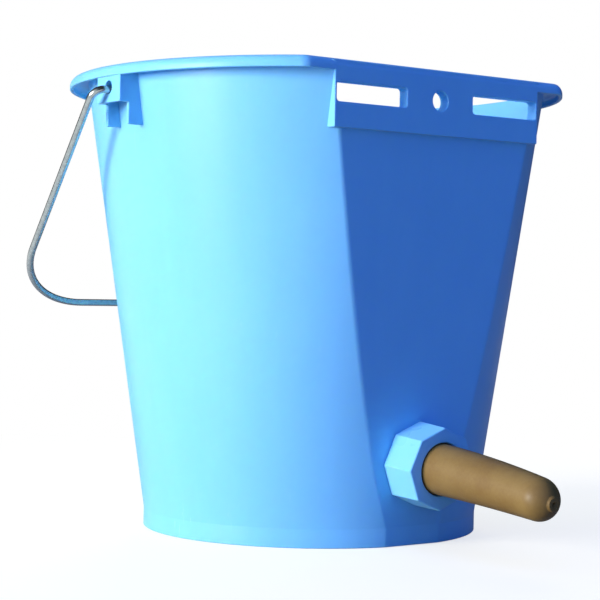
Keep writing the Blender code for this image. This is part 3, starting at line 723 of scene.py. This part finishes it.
def threaded(rings, low, high, pitch, depth):
    """Draws a thread into rows of circles: their radius grows by depth times a rounded saw of z - pitch a / 2 pi.

    The thread fades out over one pitch at either end.
    """
    x, y, z = np.moveaxis(rings, -1, 0)
    radius = np.hypot(x, y)
    phase = (z / pitch - np.arctan2(y, x) / (2 * np.pi)) % 1
    saw = 0.5 - 0.5 * np.cos(2 * np.pi * phase)
    fade = np.clip((z - low) / pitch, 0, 1) * np.clip((high - z) / pitch, 0, 1)
    grown = (radius + depth * saw * fade) / radius
    return np.stack([x * grown, y * grown, z], axis=-1)


def nut_rings(nut):
    """The nut's section as one closed path: back face, draughted flats, rounded front, lip and threaded bore."""
    back_fall, back_gain = rounding(NUT_BACK_EDGE)
    fall, gain = rounding(nut.nut_edge_r)
    lip = nut.teat_base_r + 2 * SEAT_GAP
    shoulder = nut.nut_end - nut.nut_lip_t
    bore = np.linspace(shoulder, SEAT_GAP, NUT_THREAD_ROWS)
    rings = mixed_rings(
        NUT_CORNER_R,
        (nut.nut_back_r - back_fall * SLANT, SEAT_GAP + back_gain, True),
        (nut.nut_front_r - gain * SLANT, nut.nut_end - fall, True),
        (lip + fall, nut.nut_end - gain, False),
        (lip, shoulder, False),
        (nut.spigot_r + SEAT_GAP, bore, False),
    )
    rows = slice(-bore.size, None)
    rings[rows] = threaded(rings[rows], NUT_THREAD_START, nut.spigot_end, nut.pitch, nut.thread_h)
    return rings


def teat_section(nut):
    """Radius and height of the teat's section as one closed path, from the hole in its tip and back to it.

    Outside it is the raised ring, which rises as a sine over the first 0.4 of its width and falls to the dome
    as 3 s^2 - 2 s^3 over the last 0.3. An elliptic dome follows, and a taper that takes 0.6 s + 0.4 s^2 of the
    difference between its two radii at the share s of its length. Then come the flange and the bore.
    """
    end = nut.nut_end + nut.teat_length
    dome = end - nut.teat_dome_h
    turn = math.asin(nut.ring_r / nut.teat_tip_r)
    share = np.linspace(0, 1, TEAT_RING_ROWS)
    up = np.clip(share / 0.4, 0, 1)
    down = np.clip((share - 0.7) / 0.3, 0, 1)
    fall = nut.ring_h + nut.teat_dome_h * (1 - math.cos(turn))
    ring_z = end + nut.ring_h * np.sin(up * np.pi / 2) ** 0.8 - fall * down * down * (3 - 2 * down)
    angle = np.linspace(turn, np.pi / 2, TEAT_DOME_ROWS)[1:]
    start = nut.nut_end + SEAT_GAP
    part = np.linspace(1, 0, TEAT_SIDE_ROWS)[1:]
    taper = nut.teat_base_r - (nut.teat_base_r - nut.teat_tip_r) * (0.6 * part + 0.4 * part**2)
    low = nut.spigot_end + SEAT_GAP
    high = low + nut.teat_flange_t
    bore_dome = end - nut.tip_wall - nut.bore_tip_r
    bore = np.linspace(0, 1, TEAT_BORE_ROWS)[1:-1]
    bore_r = nut.bore_base_r + (nut.bore_tip_r - nut.bore_base_r) * bore
    close = np.linspace(np.pi / 2, math.asin(nut.hole_r / nut.bore_tip_r), BORE_DOME_ROWS)
    return chained(
        (nut.hole_r + share * (nut.ring_r - nut.hole_r), ring_z),
        (nut.teat_tip_r * np.sin(angle), dome + nut.teat_dome_h * np.cos(angle)),
        (taper, start + part * (dome - start)),
        ([nut.teat_base_r + SEAT_GAP, nut.spigot_r], high),
        ([nut.spigot_r, nut.bore_base_r], low),
        (nut.bore_base_r, nut.nut_end),
        (bore_r, nut.nut_end + (bore_dome - nut.nut_end) * bore),
        (nut.bore_tip_r * np.sin(close), bore_dome + nut.bore_tip_r * np.cos(close)),
    )


def seat_cone(nut):
    """How far the tip of the cone on which the ball seats, which has 45 degrees, lies behind the flat front."""
    ball = nut.spigot_end - SEAT_GAP - nut.retainer_t - SEAT_GAP - nut.ball_r
    return math.sqrt(2) * (nut.ball_r + SEAT_GAP) - (ball - nut.ball_travel)


def valve_rings(nut, wall_t):
    """The valve's section as one closed path: threaded spigot, flange, eight-sided hub, inlet and chamber."""
    fall, gain = rounding(VALVE_EDGE, VALVE_EDGE_STEPS)
    near = -(wall_t + SEAT_GAP + nut.gasket_t) - SEAT_GAP
    far = near - nut.flange_t
    hub_end = far - nut.hub_h
    seat = np.array([nut.inlet_r, nut.chamber_r])
    thread = np.linspace(nut.spigot_end - VALVE_EDGE, near, SPIGOT_THREAD_ROWS)[1:]
    rings = mixed_rings(
        HUB_CORNER_R,
        (nut.spigot_r - fall, nut.spigot_end - gain, False),
        (nut.spigot_r, thread, False),
        (nut.flange_r - fall, near - gain, False),
        (nut.flange_r - gain, far + fall, False),
        (nut.hub_r + fall, far - gain, True),
        (nut.hub_r - gain * SLANT, hub_end + fall, True),
        ([nut.inlet_mouth_r, nut.inlet_r], [hub_end, hub_end + nut.inlet_mouth_r - nut.inlet_r], False),
        (seat, seat - seat_cone(nut), False),
        (nut.chamber_r, nut.spigot_end, False),
    )
    rows = slice(fall.size, fall.size + thread.size)
    rings[rows] = threaded(rings[rows], SPIGOT_THREAD_START, nut.spigot_end - VALVE_EDGE, nut.pitch, -nut.thread_h)
    return rings


def guide_bars(nut, bucket):
    """The four ribs that keep the ball in the middle of its chamber, each a small box turned round the axis."""
    low = (nut.ball_r + SEAT_GAP, -nut.guide_t / 2, nut.chamber_r - seat_cone(nut))
    high = ((nut.chamber_r + nut.spigot_r) / 2, nut.guide_t / 2, nut.spigot_end - 2 * SEAT_GAP - nut.retainer_t)

    def placed(degrees, points):
        x, y, z = np.moveaxis(points, -1, 0)
        x, y = turned(x, y, math.radians(degrees))
        return on_valve_axis(np.stack([x, y, z], axis=-1), bucket, nut)

    return [bar("ball_guide", low, high, 0, GUIDE_EDGE, partial(placed, turn)) for turn in (45, 135, 225, 315)]


# The bail's wire


def rounded_bend(before, corner, after, radius, steps):
    """Points of the arc that rounds a corner between two straight runs of a plane path.

    Its centre lies on the line that halves the corner, r / sin(half the corner's angle) from it.
    """
    before, corner, after = map(np.asarray, (before, corner, after))
    back = (before - corner) / np.linalg.norm(before - corner)
    on = (after - corner) / np.linalg.norm(after - corner)
    middle = (back + on) / np.linalg.norm(back + on)
    half = math.acos(float(back @ on)) / 2
    centre = corner + middle * radius / math.sin(half)
    start = back - middle * (back @ middle)
    sweep = np.linspace(-1, 1, steps + 1)[:, None] * (math.pi / 2 - half)
    side = start / np.linalg.norm(start)
    return centre - radius * (np.cos(sweep) * middle + np.sin(sweep) * side)


def bail_path(bucket, bail):
    """The wire's centre line in its own plane, hanging down from the hinge line, as points of x and z.

    Its straight runs get a point every 6 mm.
    """
    plate = ear_face(bucket)
    end = (plate - bucket.ear_t - bail.end, 0)
    shoulder = (plate + bail.shoulder_proud, 0)
    corner = (shoulder[0] - bail.draw_in, -bail.drop)
    run = [
        np.asarray([end]),
        rounded_bend(end, shoulder, corner, bail.shoulder_r, SHOULDER_BEND_STEPS),
        rounded_bend(shoulder, corner, (0, -bail.drop), bail.corner_r, CORNER_BEND_STEPS),
    ]
    half = np.concatenate(run)
    path = np.concatenate([half, (half * (-1, 1))[::-1]])
    gaps = np.linalg.norm(np.diff(path, axis=0), axis=1)
    along = np.concatenate([[0], np.cumsum(gaps)])
    every = np.unique(np.concatenate([along, np.arange(2 * MM, along[-1], 6 * MM)]).round(5))
    return np.stack([np.interp(every, along, column) for column in path.T], axis=-1)


def bail_rings(path, radius):
    """A round wire along a plane path, its ends rounded off.

    A row is the path's point plus r (cos a n + sin a b), where n is the path's normal in its plane and b is
    square to the plane. At an end the radius falls as r sin(q) over the last 0.4 r cos(q).
    """
    way = np.gradient(path, axis=0)
    way /= np.linalg.norm(way, axis=1)[:, None]
    q = quarter(5)[1:-1]
    first = path[0] - way[0] * 0.4 * radius * np.cos(q)[:, None]
    last = path[-1] + way[-1] * 0.4 * radius * np.cos(q)[::-1, None]
    centre = np.concatenate([first, path, last])
    way = np.concatenate([np.repeat(way[:1], q.size, axis=0), way, np.repeat(way[-1:], q.size, axis=0)])
    r = np.concatenate([radius * np.sin(q), np.full(len(path), radius), radius * np.sin(q)[::-1]])[:, None]
    cosine, sine = spokes(WIRE_STEPS).T
    x = centre[:, :1] - r * cosine * way[:, 1:]
    z = centre[:, 1:] + r * cosine * way[:, :1]
    return np.stack([x, r * sine, z], axis=-1)


def bail_rest_turn(bucket, bail, hinge_y, hinge_z):
    """The swing back from hanging straight down at which the grip meets the cone behind it.

    The grip's centre is at y = h + L sin(a) and z = k - L cos(a). Set equal to the cone's radius there plus
    the wire's room beside the slope, that is one sine and one cosine, which add up to one sine.
    """
    slope = (bucket.wall_top_r - bucket.foot_r) / (bucket.rim_top - bucket.foot_h)
    room = (bail.wire_r + SEAT_GAP) * math.hypot(1, slope)
    reach = float(wall_radius(bucket, hinge_z)) + room - (hinge_y - AXIS_Y)
    return math.asin(reach / (bail.drop * math.hypot(1, slope))) - math.atan(slope)


# Finishes


class Recipe:
    """The nodes of a material or of the world while they are put together."""

    def __init__(self, owner, shader="Principled BSDF", out="Material Output"):
        owner.use_nodes = True
        self.owner = owner
        self.tree = owner.node_tree
        self.shader = self.tree.nodes[shader]
        self.out = self.tree.nodes[out]
        self.place = self.node("ShaderNodeTexCoord")

    def node(self, kind, **settings):
        made = self.tree.nodes.new(kind)
        for name, value in settings.items():
            setattr(made, name, value)
        return made

    def put(self, socket, value):
        """Links a socket to another one, or sets it. A colour of three values gets its fourth."""
        if isinstance(value, bpy.types.NodeSocket):
            self.tree.links.new(value, socket)
        else:
            socket.default_value = (*value, 1) if socket.type == "RGBA" else value

    def feed(self, node, **inputs):
        """Fills inputs, named with underscores for spaces."""
        for name, value in inputs.items():
            self.put(node.inputs[name.replace("_", " ")], value)
        return node

    def made(self, kind, *values, **settings):
        """A new node's first output, with its first inputs filled in their order."""
        node = self.node(kind, **settings)
        for socket, value in zip(node.inputs, values):
            self.put(socket, value)
        return node.outputs[0]

    def math(self, operation, first, second):
        return self.made("ShaderNodeMath", first, second, operation=operation)

    def mixed(self, first, second, share):
        """The sum of two values, the first times a share and the second times the rest of it."""
        return self.math("ADD", self.math("MULTIPLY", first, share), self.math("MULTIPLY", second, 1 - share))

    def along(self, vector):
        """The X, Y and Z of a vector."""
        return self.feed(self.node("ShaderNodeSeparateXYZ"), Vector=vector).outputs

    def noise(self, scale, detail, roughness, stretch=None, vector=None, distortion=0.0):
        vector = vector or self.place.outputs["Object"]
        if stretch:
            vector = self.feed(self.node("ShaderNodeMapping"), Vector=vector, Scale=stretch).outputs[0]
        inputs = {"Scale": scale, "Detail": detail, "Roughness": roughness, "Distortion": distortion}
        return self.feed(self.node("ShaderNodeTexNoise"), Vector=vector, **inputs).outputs["Fac"]

    def spread(self, value, low, high, to_low=0.0, to_high=1.0):
        """A smooth step from one level to another while the value goes from low to high."""
        return self.made("ShaderNodeMapRange", value, low, high, to_low, to_high, interpolation_type="SMOOTHSTEP")

    def blend(self, share, first, second):
        """Two colours blended by a share. The colours are the Mix node's seventh and eighth inputs."""
        made = self.node("ShaderNodeMix", data_type="RGBA")
        for place, value in ((0, share), (6, first), (7, second)):
            self.put(made.inputs[place], value)
        return made.outputs[2]

    def bump(self, height, strength, distance, normal=None):
        made = self.feed(self.node("ShaderNodeBump"), Height=height, Strength=strength, Distance=distance)
        if normal:
            self.feed(made, Normal=normal)
        return made.outputs[0]


def moulded_plastic(name, light, deep, gloss=0.33, scuffs=0.5):
    """Moulded plastic: slow shifts of colour, faint streaks of flow, a fine skin, and scuffs near the foot."""
    make = Recipe(bpy.data.materials.new(name))
    flow = make.noise(70, 4, 0.6, stretch=(1, 1, 0.12), distortion=0.4)
    tone = make.mixed(make.noise(11, 3, 0.55), flow, 0.65)
    base = make.blend(make.spread(tone, 0.36, 0.64), deep, light)
    marks = make.noise(520, 5, 0.65, stretch=(1, 1, 0.16), distortion=0.3)
    foot = make.spread(make.along(make.place.outputs["Object"])["Z"], 0.0, 28 * MM, 1.0, 0.15)
    worn = make.math("MULTIPLY", make.spread(marks, 0.60, 0.72), make.spread(make.noise(24, 2, 0.5), 0.46, 0.64))
    worn = make.math("MULTIPLY", make.math("MULTIPLY", worn, foot), scuffs)
    pale = [1 - (1 - value) * 0.62 for value in light]
    shine = make.spread(make.noise(38, 3, 0.6), 0.3, 0.7, gloss - 0.035, gloss + 0.05)
    skin = make.bump(make.noise(1500, 2, 0.5), 0.10, 0.12 * MM)
    wave = make.bump(make.noise(26, 2, 0.4), 0.22, 0.9 * MM, skin)
    make.feed(
        make.shader,
        Base_Color=make.blend(worn, base, pale),
        Roughness=make.math("ADD", shine, make.math("MULTIPLY", worn, 0.25)),
        Normal=make.bump(marks, 0.05, 0.1 * MM, wave),
        Specular_IOR_Level=0.22,
        IOR=1.49,
        Subsurface_Weight=0.2,
        Subsurface_Radius=(0.10, 0.32, 1.0),
        Subsurface_Scale=2 * MM,
    )
    return make.owner


def galvanised_wire(name, light, deep):
    """Zinc on drawn wire: crystals of two greys, runs along the wire, and a bright skin over them."""
    make = Recipe(bpy.data.materials.new(name))
    cells = make.feed(make.node("ShaderNodeTexVoronoi"), Vector=make.place.outputs["Object"], Scale=420.0)
    runs = make.noise(1, 4, 0.6, stretch=(9, 60, 1), vector=make.place.outputs["UV"], distortion=0.5)
    dull = make.noise(95, 4, 0.65)
    crystals = make.math("MULTIPLY", cells.outputs["Distance"], 0.5)
    grain = make.math("ADD", crystals, make.math("MULTIPLY", runs, 0.6))
    make.feed(
        make.shader,
        Base_Color=make.blend(make.spread(grain, 0.25, 0.75), deep, light),
        Metallic=1.0,
        Roughness=make.spread(dull, 0.30, 0.70, 0.17, 0.30),
        Normal=make.bump(dull, 0.05, 0.1 * MM, make.bump(runs, 0.04, 0.04 * MM)),
    )
    return make.owner


def rubber(name, light, deep, lines=True):
    """Moulded rubber: cloudy colour, a fine bloom, small pits, and the two faint lines where the mould closed.

    With lines, the tip gets a painted shade: its colour darkens from 20 mm down to 4 mm of the surface's length
    from its end.
    """
    make = Recipe(bpy.data.materials.new(name))
    bloom = make.noise(620, 3, 0.6)
    tone = make.mixed(make.noise(42, 4, 0.6), bloom, 0.75)
    base = make.blend(make.spread(tone, 0.30, 0.66), deep, light)
    pits = make.spread(make.noise(260, 2, 0.5), 0.66, 0.74)
    normal = make.bump(pits, -0.25, 0.15 * MM, make.bump(bloom, 0.16, 0.12 * MM))
    if lines:
        across = make.along(make.place.outputs["UV"])
        turn = make.math("PINGPONG", make.math("ADD", across["X"], 0.12), 0.5)
        normal = make.bump(make.spread(turn, 0.0, 0.004, 1.0, 0.0), 0.6, 0.2 * MM, normal)
        # Painted shade on the teat's tip, darkest at its end.
        tip = make.spread(across["Y"], 4 * MM, 20 * MM, 0.5, 0.0)
        base = make.blend(tip, base, [value * 0.62 for value in deep])
    shine = make.spread(make.noise(130, 3, 0.6), 0.3, 0.7, 0.44, 0.56)
    make.feed(make.shader, Base_Color=base, Roughness=shine, Normal=normal, Specular_IOR_Level=0.32)
    return make.owner


# Operators


class MouldBucket(bpy.types.Operator):
    """Build the moulded bucket with its rim, hanging band and bail ears"""

    bl_idname = "feeding_bucket.mould_bucket"
    bl_label = "Bucket"

    def execute(self, context):
        bench = context.scene.feeding_bucket
        size = bench.bucket
        if abs(2 * rim_radius(size) - (SHELL_HIGH.x - SHELL_LOW.x)) > MM or abs(size.rim_top - SHELL_HIGH.z) > MM:
            raise RuntimeError("the bucket's sizes don't suit the packed model")
        ear_y = bail_hinge(size, bench.bail)[0]
        joined = [rim(size), *band(size), *ears(size, ear_y)]
        cut = [cavity(size), *openings(size, ear_y), valve_hole(size, bench.nut)]
        made = smooth(carved(outer_wall(size), joined, cut), 28)
        paint = moulded_plastic("bucket_plastic", bench.finish.bucket, bench.finish.bucket_deep)
        finished(made, paint, "bucket", "bucket_blue", "bucket_shell")
        return {"FINISHED"}


class BendBail(bpy.types.Operator):
    """Build the galvanised wire bail, lying back against the wall"""

    bl_idname = "feeding_bucket.bend_bail"
    bl_label = "Bail"

    def execute(self, context):
        bench = context.scene.feeding_bucket
        hinge_y, hinge_z = bail_hinge(bench.bucket, bench.bail)
        turn = bail_rest_turn(bench.bucket, bench.bail, hinge_y, hinge_z)
        rings = bail_rings(bail_path(bench.bucket, bench.bail), bench.bail.wire_r)
        x, y, z = np.moveaxis(rings, -1, 0)
        y, z = turned(y, z, turn)
        rings = np.stack([x, hinge_y + y, hinge_z + z], axis=-1)
        made = smooth(wrapped("bail_wire", rings, closed_rows=False), 50)
        paint = galvanised_wire("galvanised_zinc", bench.finish.wire, bench.finish.wire_deep)
        finished(made, paint, "bail", "galvanised_wire", "bail_handle")
        return {"FINISHED"}


class TurnNut(bpy.types.Operator):
    """Build the eight-sided nut that clamps the teat to the front"""

    bl_idname = "feeding_bucket.turn_nut"
    bl_label = "Nut"

    def execute(self, context):
        bench = context.scene.feeding_bucket
        rings = on_valve_axis(nut_rings(bench.nut), bench.bucket, bench.nut)
        made = smooth(wrapped("clamping_nut", rings), 32)
        # The nut's lighter blue is painted light for its facets that turn to the key lamp.
        paint = moulded_plastic("nut_plastic", bench.finish.nut, bench.finish.nut_deep, gloss=0.30, scuffs=0.25)
        finished(made, paint, "bucket", "nut_blue", "teat_nut")
        return {"FINISHED"}


class MouldTeat(bpy.types.Operator):
    """Build the hollow rubber teat, which sags with the square of the distance from the nut"""

    bl_idname = "feeding_bucket.mould_teat"
    bl_label = "Teat"

    def execute(self, context):
        bench = context.scene.feeding_bucket
        nut = bench.nut
        radius, height = teat_section(nut)
        rings = lifted(radius[:, None, None] * spokes(TEAT_STEPS), height)
        past = np.maximum(0, rings[..., 2] - nut.nut_end) / nut.teat_length
        rings[..., 1] -= nut.sag * past**2
        made = smooth(wrapped("rubber_teat", on_valve_axis(rings, bench.bucket, nut)), 50)
        paint = rubber("teat_rubber", bench.finish.teat, bench.finish.teat_deep)
        finished(made, paint, "bucket", "teat_brown", "teat")
        return {"FINISHED"}


class BuildValve(bpy.types.Operator):
    """Build the valve's body, and finish its gasket, ball and retainer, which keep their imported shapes"""

    bl_idname = "feeding_bucket.build_valve"
    bl_label = "Valve"

    def execute(self, context):
        bench = context.scene.feeding_bucket
        colours = bench.finish
        rings = on_valve_axis(valve_rings(bench.nut, bench.bucket.face_t), bench.bucket, bench.nut)
        made = wrapped("valve_fitting", rings)
        guides = guide_bars(bench.nut, bench.bucket)
        with context.temp_override(active_object=made, selected_editable_objects=[made, *guides]):
            bpy.ops.object.join()
        white = moulded_plastic("valve_plastic", colours.valve, colours.valve, gloss=0.36, scuffs=0.2)
        shiny = moulded_plastic("ball_plastic", colours.valve, colours.valve, gloss=0.24, scuffs=0.1)
        black = rubber("gasket_rubber", colours.gasket, colours.gasket, lines=False)
        finished(smooth(made, 32), white, "bucket", "valve_white", "valve_body")
        for node, paint in (("ball_retainer", white), ("valve_ball", shiny), ("flange_gasket", black)):
            repaint(frame["nodes"][node], paint)
        return {"FINISHED"}


class SetStage(bpy.types.Operator):
    """Build the floor, the lamps and the camera at the photograph's viewing angle"""

    bl_idname = "feeding_bucket.set_stage"
    bl_label = "Stage"

    def floor(self, stage):
        """A floor that is grey to the light, and that the camera sees glow white, with the object's shadow."""
        half = stage.floor_size / 2
        points = [(-half, -half, 0), (half, -half, 0), (half, half, 0), (-half, half, 0)]
        made = mesh_object("studio_floor", points, [(0, 1, 2, 3)])
        make = Recipe(bpy.data.materials.new("studio_floor"))
        make.tree.nodes.remove(make.shader)
        where = make.place.outputs["Object"]
        grey = make.made("ShaderNodeBsdfDiffuse", (0.30, 0.30, 0.30))
        shaded = make.made("ShaderNodeBsdfDiffuse", (0.50, 0.47, 0.34))
        near = make.made("ShaderNodeAddShader", shaded, make.made("ShaderNodeEmission", (1, 1, 1), 0.71))
        away = make.feed(make.node("ShaderNodeVectorMath", operation="LENGTH"), Vector=where).outputs["Value"]
        white = make.made("ShaderNodeEmission", (1, 1, 1), 1.0)
        seen = make.made("ShaderNodeMixShader", make.spread(away, 240 * MM, 620 * MM), near, white)
        # Reflections find the floor white on the left and dark under the curtain on the right.
        lit = make.spread(make.along(where)["X"], -300 * MM, 0.0, 1.0, 0.06)
        ray = make.node("ShaderNodeLightPath").outputs
        mirrored = make.math("MULTIPLY", ray["Is Glossy Ray"], lit)
        direct = make.math("MAXIMUM", ray["Is Camera Ray"], ray["Is Transmission Ray"])
        final = make.made("ShaderNodeMixShader", make.math("MAXIMUM", direct, mirrored), grey, seen)
        make.put(make.out.inputs["Surface"], final)
        made.data.materials.append(make.owner)

    def room(self, stage):
        """A room with a blue front half and a nearly white back half, and a dark curtain on its right.

        The camera sees it white. Shiny surfaces mirror white from the left alone.
        """
        world = bpy.data.worlds.new("studio")
        bpy.context.scene.world = world
        make = Recipe(world, "Background", "World Output")
        way = make.along(make.place.outputs["Generated"])
        curtain = make.spread(way["X"], 0.0, 0.45, 1.0, 0.12)
        tint = make.blend(make.spread(way["Y"], 0.0, 0.6), (0.105, 0.265, 1.0), (0.50, 0.58, 0.72))
        make.feed(make.shader, Color=tint, Strength=make.math("MULTIPLY", curtain, stage.surroundings))
        ray = make.node("ShaderNodeLightPath").outputs
        mirrored = make.spread(way["X"], -0.98, -0.50, 1.0, 0.06)
        bright = make.math("MAXIMUM", ray["Is Camera Ray"], mirrored)
        seen = make.made("ShaderNodeBackground", (1, 1, 1), bright)
        share = make.math("MAXIMUM", ray["Is Camera Ray"], ray["Is Glossy Ray"])
        share = make.math("MAXIMUM", share, ray["Is Transmission Ray"])
        final = make.made("ShaderNodeMixShader", share, make.shader.outputs[0], seen)
        make.put(make.out.inputs["Surface"], final)

    def stand(self, made, across, up, back, place):
        """Stands a lamp or a camera by its three axes and its origin."""
        columns = np.stack([across, up, back, place], axis=-1)
        made.matrix_world = Matrix([*map(tuple, columns), (0, 0, 0, 1)])
        return made

    def lamp(self, name, power, tint, bearing, rise, distance, side):
        """A square lamp that looks at the middle of the object from a bearing, counted from -Y towards -X."""
        around, up = math.radians(bearing), math.radians(rise)
        way = np.array([-math.sin(around) * math.cos(up), -math.cos(around) * math.cos(up), math.sin(up)])
        data = bpy.data.lights.new(name, "AREA")
        data.size = side
        data.energy = power
        data.color = tint
        across = np.cross((0, 0, 1), way)
        across /= np.linalg.norm(across)
        middle = (0, 0, LAMP_AIM_Z)
        return self.stand(linked(name, data), across, np.cross(way, across), way, distance * way + middle)

    def camera(self):
        """The camera worked out from the photograph, in multiples of the bucket's height.

        It stands at (D sin a, -D cos a, h) from the round wall's axis, then turns by a small yaw, pitch and
        roll. The lens follows from the picture's width and the focal length, both in pixels.
        """
        bearing, yaw, pitch, roll = map(math.radians, CAMERA_DEGREES)
        place = np.array([*turned(0, -CAMERA_DISTANCE, bearing), CAMERA_HEIGHT]) * SHELL_HIGH.z + (0, AXIS_Y, 0)
        right, ahead, up = np.eye(3)
        right, ahead = turned(right, ahead, -bearing - yaw)
        ahead, up = turned(ahead, up, -pitch)
        right, up = turned(right, up, -roll)
        data = bpy.data.cameras.new("photograph")
        data.sensor_width = SENSOR_WIDTH
        data.lens = FOCAL_PIXELS / PICTURE_PIXELS * SENSOR_WIDTH
        bpy.context.scene.camera = self.stand(linked("photograph", data), right, up, -ahead, place)

    def execute(self, context):
        stage = context.scene.feeding_bucket.stage
        self.floor(stage)
        self.room(stage)
        self.lamp("key", stage.key_power, (1, 1, 1), bearing=93, rise=9, distance=2.2, side=0.8)
        back = self.lamp("back", stage.back_power, (1, 0.97, 0.93), bearing=-138, rise=30, distance=2.4, side=1.2)
        # Nothing mirrors the back lamp, so the edges that it grazes stay as dark as the photograph's.
        back.visible_glossy = False
        self.lamp("fill", stage.fill_power, (0.45, 0.75, 1), bearing=45, rise=25, distance=2.6, side=1.6)
        self.camera()
        context.scene.view_settings.view_transform = "Standard"
        return {"FINISHED"}


class BenchPanel(bpy.types.Panel):
    """Lists the steps that build the bucket"""

    bl_idname = "VIEW3D_PT_feeding_bucket"
    bl_label = "Feeding Bucket"
    bl_space_type = "VIEW_3D"
    bl_region_type = "UI"
    bl_category = "Feeding Bucket"

    def draw(self, context):
        bench = context.scene.feeding_bucket
        for step, sizes in STEPS:
            self.layout.operator(step.bl_idname)
            for name in getattr(bench, sizes).bl_rna.properties.keys():
                if name not in ("rna_type", "name"):
                    self.layout.prop(getattr(bench, sizes), name)


STEPS = (
    (MouldBucket, "bucket"),
    (BendBail, "bail"),
    (TurnNut, "nut"),
    (MouldTeat, "nut"),
    (BuildValve, "finish"),
    (SetStage, "stage"),
)
GROUPS = (BucketSizes, BailSizes, NutSizes, Finishes, StageSizes, Workbench)
CLASSES = (*GROUPS, *[step for step, sizes in STEPS], BenchPanel)


def register():
    for item in CLASSES:
        bpy.utils.register_class(item)
    bpy.types.Scene.feeding_bucket = group(Workbench, "Feeding bucket", "Sizes and colours of the bucket")


def unregister():
    del bpy.types.Scene.feeding_bucket
    for item in reversed(CLASSES):
        bpy.utils.unregister_class(item)


def main():
    register()
    for step, sizes in STEPS:
        family, name = step.bl_idname.split(".")
        getattr(getattr(bpy.ops, family), name)()


if __name__ == "__main__":
    main()
